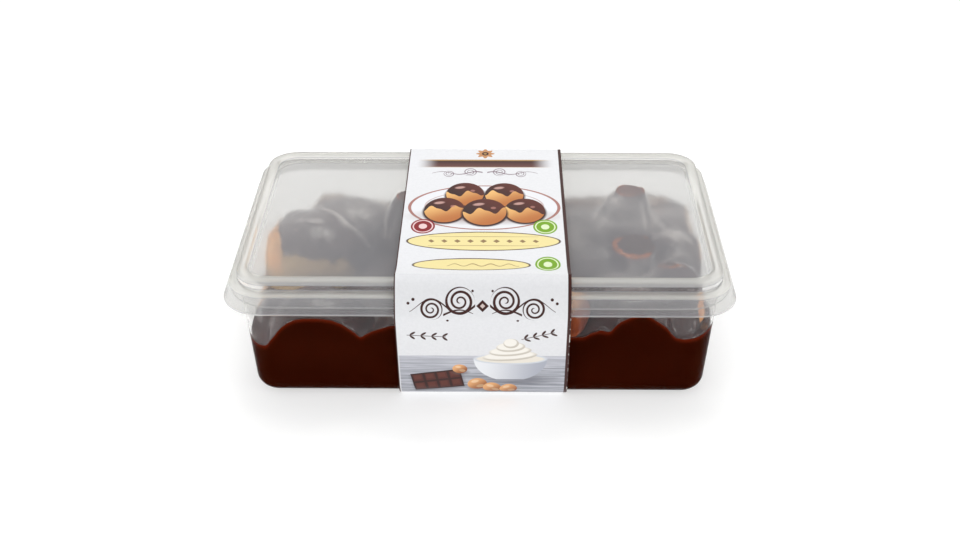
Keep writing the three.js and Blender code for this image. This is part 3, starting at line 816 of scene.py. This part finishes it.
def crust(name, dark, mid, light, pale, upper=None, shaded=None):
    g = Nodes(name)
    co = g.objcoord()
    n1 = g.noise(co, 110.0, 5.0, 0.6)
    n2 = g.noise(co, 420.0, 4.0, 0.65)
    n3 = g.noise(co, 30.0, 3.0)
    col = g.ramp(n1 * 0.5 + n3 * 0.3 + n2 * 0.2, [(0.30, dark), (0.44, mid), (0.56, light), (0.72, pale)])
    if upper or shaded:
        sep = g.node("ShaderNodeSeparateXYZ")
        g.put(sep.inputs[0], co)
        px, pz = S(g, sep.outputs[0]) * 1000.0, S(g, sep.outputs[2]) * 1000.0
    if upper:
        col = g.mix(g.range(pz + n3 * 4.0, 43.0, 48.5), col, upper)
    if shaded:                                     # darker towards the middle of the pack and low down
        side = g.range(px + n3 * 3.0 + g.range(pz, 36.0, 46.0) * 1.6, -83.6, -79.8) + g.range(pz + n3 * 3.0, 36.0, 31.0)
        col = g.mix(side.min(1.0), col, shaded)
    p = g.principled(Base_Color=col, Roughness=0.7, Specular_IOR_Level=0.3)
    g.put(p.inputs["Normal"], g.bump(n1 + n2 * 0.6, 0.45, 0.0011))
    return g.surface(p.outputs[0])


choux = crust("choux_crust", srgb(176, 96, 44), srgb(214, 142, 78), srgb(232, 172, 110), srgb(240, 194, 136))
choux_end = crust("choux_crust_end", srgb(190, 108, 50), srgb(226, 152, 84), srgb(240, 182, 120), srgb(246, 204, 148), shaded=srgb(196, 164, 116))
choux_dark = crust("choux_crust_dark", srgb(78, 22, 6), srgb(112, 44, 16), srgb(146, 68, 30), srgb(178, 98, 50), upper=srgb(240, 172, 110))


g = Nodes("chocolate_coat")
co = g.objcoord()
n1 = g.noise(co, 80.0, 3.0)
p = g.principled(Base_Color=g.mix(n1, (0.030, 0.0032, 0.0010), (0.040, 0.0048, 0.0014)), Roughness=0.3, Specular_IOR_Level=0.4)
coat = g.surface(p.outputs[0])
BARE = {"profiterole_left_end": choux_end, "profiterole_front_choux": choux_dark, "profiterole_right_corner": choux}


def build_puff(q, grow):
    """A baked puff: a lumpy ball, pressed flat where it meets the tub's wall, base or lid."""
    U, V = 72, 44
    at, half = np.array(q["at"], float), np.array(q["half"], float) + grow
    verts = []
    for j in range(V + 1):
        f = -math.pi / 2 + math.pi * j / V
        for i in range(1 if j in (0, V) else U):
            t = 2 * math.pi * i / U
            s = 1 + 0.035 * math.cos(f) * (math.sin(3 * t + q["seed"]) + 0.7 * math.cos(2 * t + 2.1 * q["seed"] + 3 * f))
            d = np.array([s * math.cos(f) * math.cos(t), s * math.cos(f) * math.sin(t), math.sin(f)])
            p = at + half * d
            w = Vector((p[0] * 0.16, p[1] * 0.16, p[2] * 0.16 + q["seed"] * 7))
            amp = 0.55 * noise.noise(w) + 0.3 * noise.noise(w * 2.7) + 0.13 * noise.noise(w * 7.0)
            p = p + d * amp
            verts.append(p)
    v = np.array(verts)
    d = TUB_T * 0.65
    if q["name"] not in BARE:
        d += 0.8
    z = np.clip(v[:, 2], TUB_BASE_Z + d, LID_UNDER + 0.2)
    v[:, 2] = z
    t = (z - TUB_BASE_Z) / (TUB_TOP_Z - TUB_BASE_Z)
    f = TUB_FILLET - d
    bend = np.clip(1 - (z - TUB_BASE_Z - d) / f, 0, 1)
    pull = d + f * (1 - np.sqrt(1 - bend ** 2))
    A = TUB_BASE_A + (TUB_TOP_A - TUB_BASE_A) * t - pull
    B = TUB_BASE_B + (TUB_TOP_B - TUB_BASE_B) * t - pull
    R = TUB_BASE_R + (TUB_TOP_R - TUB_BASE_R) * t
    v[:, 0] = np.clip(v[:, 0], -A, A)
    v[:, 1] = np.clip(v[:, 1], -B, B)
    cx, cy = np.abs(v[:, 0]) - (A - R), np.abs(v[:, 1]) - (B - R)
    far = np.hypot(cx, cy)
    hit = (cx > 0) & (cy > 0) & (far > R)
    k = np.where(hit, R / np.maximum(far, 1e-6), 1.0)
    v[:, 0] = np.where(hit, np.sign(v[:, 0]) * (A - R + cx * k), v[:, 0])
    v[:, 1] = np.where(hit, np.sign(v[:, 1]) * (B - R + cy * k), v[:, 1])
    row = lambda j: 0 if j == 0 else 1 + (j - 1) * U
    faces = []
    for j in range(V):
        for i in range(U):
            k = (i + 1) % U
            if j == 0:
                faces.append((0, row(1) + k, row(1) + i))
            elif j == V - 1:
                faces.append((row(j) + i, row(j) + k, row(V)))
            else:
                faces.append((row(j) + i, row(j) + k, row(j + 1) + k, row(j + 1) + i))
    bare = q["name"] in BARE
    ob = make_piece(q["name"].replace("profiterole", "puff"), v, faces, [BARE[q["name"]] if bare else coat])
    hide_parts(q["name"])
    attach(ob, "root")
    return ob


for q in PUFFS:
    build_puff(q, 0.0 if q["name"] in BARE else -1.4)


# ------------------------------------------------------------------ sleeve
def sleeve_outline(fine=True):
    pts = []

    def bow(p, q, out, steps):
        dy, dz = q[0] - p[0], q[1] - p[1]
        l = math.hypot(dy, dz)
        for k in range(steps):
            t = k / steps
            h = out * 4 * t * (1 - t)
            pts.append((p[0] + dy * t + dz / l * h, p[1] + dz * t - dy / l * h))

    foot, toe, toeZ, hip, hipZ, edge, edgeZ = 47.6, 53.9, 9.6, 62.9, 45.6, 60.7, 52.9
    bow((-foot, 0), (foot, 0), 0, 30)
    bow((foot, 0), (toe, toeZ), 1.3, 8)
    bow((toe, toeZ), (hip, hipZ), 0.25, 14)
    bow((hip, hipZ), (edge, edgeZ), 0.1, 4)
    bow((edge, edgeZ), (57.7, 57.9), 0.1, 3)
    bow((57.7, 57.9), (56.5, SLEEVE_TOP_Z), 0.1, 3)
    bow((56.5, SLEEVE_TOP_Z), (-45.5, SLEEVE_TOP_Z), 0, 40)
    bow((-45.5, SLEEVE_TOP_Z), (CREASE_Y, CREASE_Z), -0.25, 8)
    bow((CREASE_Y, CREASE_Z), (-58.1, 57.9), 0.15, 5)
    bow((-58.1, 57.9), (-edge, edgeZ), 0.1, 4)
    bow((-edge, edgeZ), (-hip, hipZ), 0.1, 5)
    bow((-hip, hipZ), (-toe, toeZ), 0.25, 16)
    bow((-toe, toeZ), (-foot, 0), 1.3, 8)
    return np.array(pts)


g = Nodes("card_inside")
co = g.objcoord()
f1 = g.noise(co, 700.0, 3.0)
p = g.principled(Base_Color=g.mix(f1, (0.62, 0.60, 0.56), (0.70, 0.68, 0.64)), Roughness=0.85, Specular_IOR_Level=0.2)
card_in = g.surface(p.outputs[0])

g = Nodes("card_edge")
co = g.objcoord()
f1 = g.noise(co, 2500.0, 2.0)
p = g.principled(Base_Color=g.mix(f1, (0.72, 0.70, 0.68), (0.86, 0.85, 0.84)), Roughness=0.9, Specular_IOR_Level=0.2)
card_edge = g.surface(p.outputs[0])


def build_print(zone, z0, z1):
    """The sleeve's outer print as fields of colour and simple shapes. u is mm from the left cut edge, v is mm from the front top fold: up the top panel positive, down the front negative."""
    g = Nodes("card_print_" + zone)

    def here(low, high):
        return high > z0 - 1.6 and low < z1 + 1.6

    uvn = g.node("ShaderNodeUVMap", uv_map="print_mm")
    sep = g.node("ShaderNodeSeparateXYZ")
    g.nt.links.new(uvn.outputs[0], sep.inputs[0])
    u = S(g, sep.outputs[0]) * 100.0
    v = S(g, sep.outputs[1]) * 100.0
    W = SLEEVE_X1 - SLEEVE_X0
    MID = W / 2
    m = (u - MID).abs()                       # distance from the middle line
    co = g.objcoord()
    paper = g.noise(co, 900.0, 2.0)
    soft = g.noise(co, 60.0, 2.0)
    col = g.mix(g.range(paper, 0.3, 0.7), (0.785, 0.79, 0.81), (0.815, 0.82, 0.84))
    AA = 0.06

    def mask(sd, blur=AA):
        return g.range(sd, -blur, blur, 1.0, 0.0, "LINEAR")

    flat_uv = g.node("ShaderNodeCombineXYZ")
    g.put(flat_uv.inputs[0], u)
    g.put(flat_uv.inputs[1], v)
    mirror_uv = g.node("ShaderNodeCombineXYZ")
    g.put(mirror_uv.inputs[0], m)
    g.put(mirror_uv.inputs[1], v)

    def local(cx, cy, sx, sy, ang, mirrored=False):
        """Coordinates from a shape's own middle, turned and in units of its half sizes."""
        n = g.node("ShaderNodeMapping", vector_type="TEXTURE")
        n.inputs["Location"].default_value = (cx, cy, 0)
        n.inputs["Rotation"].default_value = (0, 0, ang)
        n.inputs["Scale"].default_value = (sx, sy, 1)
        g.nt.links.new((mirror_uv if mirrored else flat_uv).outputs[0], n.inputs["Vector"])
        return n.outputs[0]

    def ell(cx, cy, rx, ry, ang=0.0, mirrored=False):
        n = g.node("ShaderNodeVectorMath", operation="LENGTH")
        g.nt.links.new(local(cx, cy, rx, ry, ang, mirrored), n.inputs[0])
        k = min(rx, ry)
        return g.math("MULTIPLY_ADD", n.outputs["Value"], k, -k)

    def rect(cx, cy, hx, hy, ang=0.0):
        n = g.node("ShaderNodeVectorMath", operation="ABSOLUTE")
        g.nt.links.new(local(cx, cy, 1, 1, ang), n.inputs[0])
        o = g.node("ShaderNodeSeparateXYZ")
        g.nt.links.new(n.outputs[0], o.inputs[0])
        return (S(g, o.outputs[0]) - hx).max(S(g, o.outputs[1]) - hy)

    def paint(mk, c, amount=1.0):
        nonlocal col
        if amount != 1.0:
            mk = mk * amount
        col = g.mix(mk, col, c)

    def spiral(cx, cy, r0, r1, gap, width, turn=0.0, tall=1.0, side=1.0):
        """A scroll: one arm winding out from r0 to r1, thicker outwards."""
        x, y = (m - cx) * side, (v - cy) * (1.0 / tall)
        r = (x * x + y * y).sqrt()
        th = g.math("ARCTAN2", y, x) * (1.0 / (2 * math.pi))
        ph = r * (1.0 / gap) - th + turn
        near = (ph - g.math("ROUND", ph)).abs() * gap
        w = g.range(r, r0, r1, width * 0.45, width, "LINEAR")
        return (near - w).max(r - r1).max(r0 - r)

    def stroke(fn, x0, x1, w0, w1):
        """A line v = fn(m) between two distances from the middle line, tapering."""
        w = g.range(m, x0, x1, w0, w1, "LINEAR")
        return ((v - fn).abs() - w).max(x0 - m).max(m - x1)

    brown = srgb(58, 20, 14)
    gold = srgb(176, 138, 78)
    yellow = srgb(240, 225, 160)
    green = srgb(118, 165, 14)
    red = srgb(136, 14, 26)
    mauve = srgb(132, 112, 122)

    # --- top panel, from the back: a rosette, a brown band with a gold edge, a thin scroll
    if here(101.5, 113):
        bloom = g.math("ARCTAN2", v - 107.5, u - MID)
        rx, ry = (u - MID) * (1 / 4.4), (v - 107.5) * (1 / 5.0)
        rr = (rx * rx + ry * ry).sqrt()
        petals = rr - (g.math("COSINE", bloom * 8.0) * 0.16 + 0.78)
        paint(mask(petals, 0.03), srgb(196, 140, 92))
        paint(mask(rr - 0.34, 0.03), brown)
        paint(mask(rr - 0.16, 0.03), gold)
    if here(93.4, 102):
        fade = g.range(m, 20.0, 30.5, 1.0, 0.0)
        paint(mask((v - 97.5).abs() - 3.1) * fade, g.mix(g.range(v, 94.0, 100.5), srgb(104, 62, 56), srgb(62, 30, 24)))
        paint(mask((v - 101.0).abs() - 0.55) * fade, gold)
        paint(mask((v - 94.2).abs() - 0.3) * fade, gold, 0.6)
    if here(84.5, 93.5):
        wave = (m * 0.42).sin()
        paint(mask(stroke(wave * 1.3 + 88.6, 1.0, 23.0, 0.55, 0.15)), mauve, 0.9)
        paint(mask(spiral(6.5, 89.6, 0.5, 3.0, 1.15, 0.3, 0.1, 1.25)), mauve, 0.85)
        paint(mask(spiral(15.5, 87.9, 0.4, 2.4, 1.0, 0.26, 0.6, 1.25)), mauve, 0.85)


    # --- a dish with a pile of glazed buns
    if here(38, 77):
        dish = ell(MID, 57.5, 31.0, 19.0)
        paint(mask(dish), srgb(236, 237, 241), 0.8)
        paint(mask(dish.abs() - 0.4), srgb(170, 118, 110))
        paint(mask(ell(MID, 58.5, 24.5, 13.2).abs() - 0.22), srgb(198, 172, 170), 0.8)
        paint(mask(ell(MID, 49.5, 27.5, 6.5), 1.6), srgb(150, 120, 112), 0.45)

    def bun(cx, cy, rx, ry, cut, tilt):
        body = ell(cx, cy, rx, ry)
        x, y = u - cx, v - cy
        nx, ny = x * (1 / rx), y * (1 / ry)
        shade = g.range(nx * 0.35 - ny * 0.8 + soft * 0.3, -0.6, 0.9)
        paint(mask(ell(cx, cy - ry * 0.16, rx * 1.08, ry * 0.98), 0.5), srgb(52, 14, 8))
        paint(mask(body), g.mix(shade, srgb(246, 196, 122), srgb(188, 112, 52)))
        drip = (x * (5.4 / rx) + cx).sin() * (0.20 * ry) + (x * (11.0 / rx) + cx * 2.0).sin() * (0.07 * ry) + x * tilt
        glaze = (y * -1.0 + drip + cut).max(body - 0.05)
        gl = g.mix(g.range(nx * 0.5 + ny * 0.7, -0.5, 1.0), srgb(44, 10, 6), srgb(92, 34, 20))
        paint(mask(glaze), gl)
        paint(mask(ell(cx - rx * 0.28, cy + ry * 0.58, rx * 0.26, ry * 0.10, 0.25), 0.25), srgb(214, 170, 160), 0.75)
        paint(mask(ell(cx + rx * 0.40, cy + ry * 0.30, rx * 0.12, ry * 0.09), 0.2), srgb(190, 130, 118), 0.6)

    if here(42, 80):
        bun(MID - 8.2, 69.0, 8.0, 10.2, 0.5, 0.10)
        bun(MID + 8.4, 68.6, 8.1, 10.4, 1.0, -0.08)
        bun(MID - 16.4, 55.0, 8.4, 10.6, 1.2, 0.06)
        bun(MID + 16.8, 54.6, 8.3, 10.4, 0.2, -0.12)
        bun(MID + 0.2, 53.4, 9.0, 11.2, 0.8, 0.05)

    # --- pale yellow ovals and plain round marks
    def oval(cx, cy, rx, ry):
        paint(mask(ell(cx, cy, rx, ry)), brown)
        paint(mask(ell(cx, cy, rx - 0.75, ry - 0.6)), yellow)

    if here(21, 37):
        oval(MID, 29.0, 30.8, 7.6)
        for k in range(-4, 5):
            paint(mask(rect(MID + k * 5.2, 29.0, 1.0 - 0.05 * abs(k), 1.0, math.pi / 4)), srgb(120, 84, 54), 0.85)
        paint(mask(stroke((m * 0.604).sin() * 0.0 + 25.4, 0.0, 22.0, 0.22, 0.1)), srgb(150, 118, 80), 0.8)
        paint(mask(stroke((m * 0.604).sin() * 0.0 + 32.6, 0.0, 22.0, 0.22, 0.1)), srgb(150, 118, 80), 0.8)
    if here(5, 16):
        oval(MID - 4.5, 10.4, 23.0, 5.2)
        paint(mask(stroke((u * 0.9).sin() * 0.9 + 10.4, 0.0, 14.0, 0.4, 0.2)), srgb(150, 118, 80), 0.8)


    def mark(cx, cy, c, light):
        paint(mask(ell(cx, cy, 4.9, 6.0)), c)
        paint(mask(ell(cx, cy, 3.9, 4.8).abs() - 0.28), light)
        paint(mask(ell(cx, cy, 1.7, 2.1)), light)

    if here(34.5, 47):
        mark(58.6, 40.8, green, srgb(226, 240, 196))
        mark(9.0, 41.0, red, srgb(238, 206, 206))
    if here(5, 17):
        mark(58.8, 11.0, green, srgb(226, 240, 196))

    # --- front panel: a scrolled flourish and two sprigs
    if here(-20, -4):
        paint(mask(rect(MID, -12.4, 1.7, 1.7, math.pi / 4)), brown)
        paint(mask(rect(MID, -12.4, 0.7, 0.7, math.pi / 4)), srgb(214, 196, 190))
        paint(mask(spiral(8.6, -10.6, 0.6, 5.6, 2.1, 0.60, 0.52, 1.0)), brown)
        paint(mask(spiral(19.6, -13.8, 0.5, 4.4, 1.8, 0.52, 0.02, 1.0)), brown)
        paint(mask(stroke((m * 0.29 + 2.2).sin() * 2.9 - 12.6, 2.8, 27.8, 0.55, 0.12)), brown)
        paint(mask(stroke((m * 0.29 + 2.2).sin() * -1.6 - 15.6, 3.6, 15.0, 0.12, 0.45)), brown)
        for k, (cm, cy) in enumerate(((26.4, -9.9), (28.3, -11.4), (13.4, -18.6), (3.8, -6.6))):
            paint(mask(ell(cm, cy, 0.62 - 0.05 * k, 0.62 - 0.05 * k, mirrored=True)), brown)

    def sprig(cx, cy, ang, length):
        c, t = math.cos(ang), math.sin(ang)
        x, y = (u - cx) * c + (v - cy) * t, (v - cy) * c - (u - cx) * t
        paint(mask((y.abs() - 0.16).max(x.abs() - length)), brown)
        for k in range(4):
            px = -length + 2.2 + k * (2 * length - 2.6) / 3
            for sgn in (-1, 1):
                ex, ey = cx + px * c - sgn * 1.1 * t, cy + px * t + sgn * 1.1 * c
                paint(mask(ell(ex, ey, 1.35, 0.5, ang + sgn * 0.75)), brown)

    if here(-31, -23):
        sprig(12.0, -27.2, -0.06, 7.6)
        sprig(55.0, -27.0, 0.30, 6.6)

    # --- front picture: boards, a bowl of whipped cream, a tablet of chocolate, nuts
    if here(-65, -38):
        boards = g.range(v, -38.6, -38.4, 1.0, 0.0, "LINEAR") * g.range(v, -64.4, -64.2, 0.0, 1.0, "LINEAR")
        streak = g.node("ShaderNodeTexNoise")
        streak.inputs["Scale"].default_value = 1.0
        streak.inputs["Detail"].default_value = 4.0
        comb = g.node("ShaderNodeCombineXYZ")
        g.put(comb.inputs[0], u * 0.05)
        g.put(comb.inputs[1], v * 0.85)
        g.nt.links.new(comb.outputs[0], streak.inputs["Vector"])
        st = S(g, streak.outputs["Fac"])
        plank = g.mix(g.range(st, 0.30, 0.68), srgb(146, 150, 158), srgb(200, 201, 210))
        seam = (v * (1 / 5.1) - g.math("FLOOR", v * (1 / 5.1)) - 0.5).abs()
        plank = g.mix(g.range(seam, 0.46, 0.49), plank, srgb(118, 120, 128))
        paint(boards * g.range(m, 32.6, 33.0, 1.0, 0.0, "LINEAR"), plank)
        glow = g.range(v, -50.0, -37.5, 0.0, 0.45)
        paint(boards * glow, srgb(214, 214, 222))

    if here(-56, -28):
        bx, by = 44.5, -41.5
        paint(mask(ell(bx + 1.0, by - 12.0, 15.5, 2.8), 1.4), srgb(104, 104, 114), 0.55)
        cup = ell(bx, by + 1.2, 14.4, 13.4).max(v - (by + 1.2))
        cup = cup.max((by - 11.2) - v)
        shade = g.range(u, bx - 14.0, bx + 14.0)
        paint(mask(cup, 0.15), g.mix(shade, srgb(240, 242, 246), srgb(176, 180, 192)))
        paint(mask(ell(bx, by + 1.2, 14.4, 3.3), 0.12), srgb(214, 218, 226))
        paint(mask(ell(bx, by + 1.2, 13.2, 2.5), 0.12), srgb(238, 232, 220))
        for dy, rx in ((2.8, 10.6), (5.6, 8.2), (8.1, 5.6), (10.2, 3.0)):
            paint(mask(ell(bx - 0.4 + dy * 0.06, by + dy, rx, 2.7, 0.10), 0.12), srgb(206, 198, 186))
            paint(mask(ell(bx - 0.7 + dy * 0.06, by + dy + 0.45, rx - 0.5, 2.2, 0.10), 0.2), srgb(248, 244, 236))

    if here(-62, -45):
        tx, ty, ta = 15.6, -53.4, 0.17
        paint(mask(rect(tx + 0.4, ty - 1.2, 10.4, 5.6, ta), 0.9), srgb(84, 80, 88), 0.5)
        paint(mask(rect(tx, ty, 10.0, 5.4, ta), 0.1), srgb(52, 18, 14))
        for i in (-1.5, -0.5, 0.5, 1.5):
            for j in (-0.5, 0.5):
                cxx = tx + 4.9 * i * math.cos(ta) - 5.1 * j * math.sin(ta)
                cyy = ty + 4.9 * i * math.sin(ta) + 5.1 * j * math.cos(ta)
                paint(mask(rect(cxx, cyy, 1.95, 2.05, ta), 0.12), srgb(84, 36, 28))
                paint(mask(rect(cxx - 0.2, cyy + 0.35, 1.35, 1.25, ta), 0.25), srgb(104, 50, 38), 0.7)

    if here(-63, -43):
        for cx, cy, r, a in ((31.4, -55.6, 3.7, 0.3), (37.4, -58.2, 3.6, -0.4), (43.8, -58.8, 3.4, 0.4), (24.6, -46.4, 2.8, -0.2)):
            paint(mask(ell(cx + 0.3, cy - r * 0.75, r * 1.15, r * 0.5), 0.5), srgb(96, 84, 80), 0.55)
            body = ell(cx, cy, r * 1.06, r * 0.94, a)
            sh = g.range((u - cx) * (0.6 / r) - (v - cy) * (0.8 / r), -0.8, 0.9)
            paint(mask(body), g.mix(sh, srgb(236, 176, 120), srgb(150, 84, 44)))
            paint(mask(ell(cx - r * 0.25, cy + r * 0.42, r * 0.42, r * 0.24, a), 0.2), srgb(250, 216, 176), 0.7)
            paint(mask(ell(cx + r * 0.35, cy - r * 0.35, r * 0.45, r * 0.28, a), 0.15), srgb(206, 168, 128), 0.8)

    # --- brown stripes along both cut edges, with a little of the board's edge showing on the right
    paint(g.range(u, 0.42, 0.5, 1.0, 0.0, "LINEAR"), brown)
    paint(g.range(u, W - 1.35, W - 1.27, 0.0, 1.0, "LINEAR"), brown)
    chip = g.noise(co, 420.0, 3.0, 0.7)
    paint(g.range(u, W - 0.34, W - 0.28, 0.0, 1.0, "LINEAR") * g.range(chip, 0.50, 0.56) * g.range(v, -22.0, -14.0, 1.0, 0.0), srgb(222, 214, 208))
    p = g.principled(Base_Color=col, Roughness=0.42, Specular_IOR_Level=0.35)
    g.put(p.inputs["Normal"], g.bump(paper, 0.05, 0.0002))
    return g.surface(p.outputs[0])


ZONES = (("rosette", 82, 200), ("dish", 38, 82), ("ovals", 0, 38), ("scrolls", -21.5, 0), ("sprigs", -35, -21.5), ("picture", -66, -35), ("plain", -200, -66))
card_print = [build_print(*zone) for zone in ZONES]


def build_sleeve():
    out = sleeve_outline()
    n = len(out)
    prev, nxt = np.roll(out, 1, 0), np.roll(out, -1, 0)
    e0, e1 = out - prev, nxt - out
    n0 = np.column_stack([-e0[:, 1], e0[:, 0]]) / np.hypot(*e0.T)[:, None]
    n1 = np.column_stack([-e1[:, 1], e1[:, 0]]) / np.hypot(*e1.T)[:, None]
    m = n0 + n1
    inn = out + m * (CARD_T / (1 + (n0 * n1).sum(1)))[:, None]
    # unrolled length, zero at the front top fold, growing over the top towards the back
    k0 = int(np.argmin(np.hypot(out[:, 0] - CREASE_Y, out[:, 1] - CREASE_Z)))
    seg = np.hypot(*(np.roll(out, -1, 0) - out).T)
    s = np.zeros(n)
    acc = 0.0
    for k in range(1, n):
        i = (k0 + k) % n
        acc += seg[(k0 + k - 1) % n]
        s[i] = acc
    total = acc + seg[(k0 - 1) % n]
    s = -s                       # the outline runs from the fold down the front
    back = total * 0.5
    s = np.where(s < -back, s + total, s)
    NX = 28
    xs = np.linspace(SLEEVE_X0, SLEEVE_X1, NX + 1)
    verts, uvs = [], []
    for x in xs:
        for P in (out, inn):
            verts += [(x, a, b) for a, b in P]
            uvs += [((x - SLEEVE_X0) / 100.0, sv / 100.0) for sv in s]
    faces, fm = [], []
    for i in range(NX):
        a, b = i * 2 * n, (i + 1) * 2 * n
        for k in range(n):
            j = (k + 1) % n
            mid_v = s[k] if abs(s[k] - s[j]) > 50 else 0.5 * (s[k] + s[j])
            faces.append((a + k, b + k, b + j, a + j))
            fm.append(next(q for q, (_, lo_v, hi_v) in enumerate(ZONES) if lo_v <= mid_v < hi_v))
            faces.append((a + n + k, a + n + j, b + n + j, b + n + k))
            fm.append(len(ZONES))
    for i, flip in ((0, False), (NX, True)):
        a = i * 2 * n
        for k in range(n):
            j = (k + 1) % n
            f = (a + k, a + j, a + n + j, a + n + k)
            faces.append(f[::-1] if flip else f)
            fm.append(len(ZONES) + 1)
    v = np.array(verts)
    vol = 0.0
    for f in faces:
        p = v[list(f)]
        vol += np.dot(p[0], np.cross(p[1], p[2])) + np.dot(p[0], np.cross(p[2], p[3]))
    if vol < 0:
        faces = [f[::-1] for f in faces]
    ob = make_piece("sleeve_card", v, faces, [*card_print, card_in, card_edge], fm, uv=uvs)
    # the folds stay crisp
    ob.data.set_sharp_from_angle(angle=math.radians(35))
    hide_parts("sleeve")
    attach(ob, "root")
    return ob


build_sleeve()
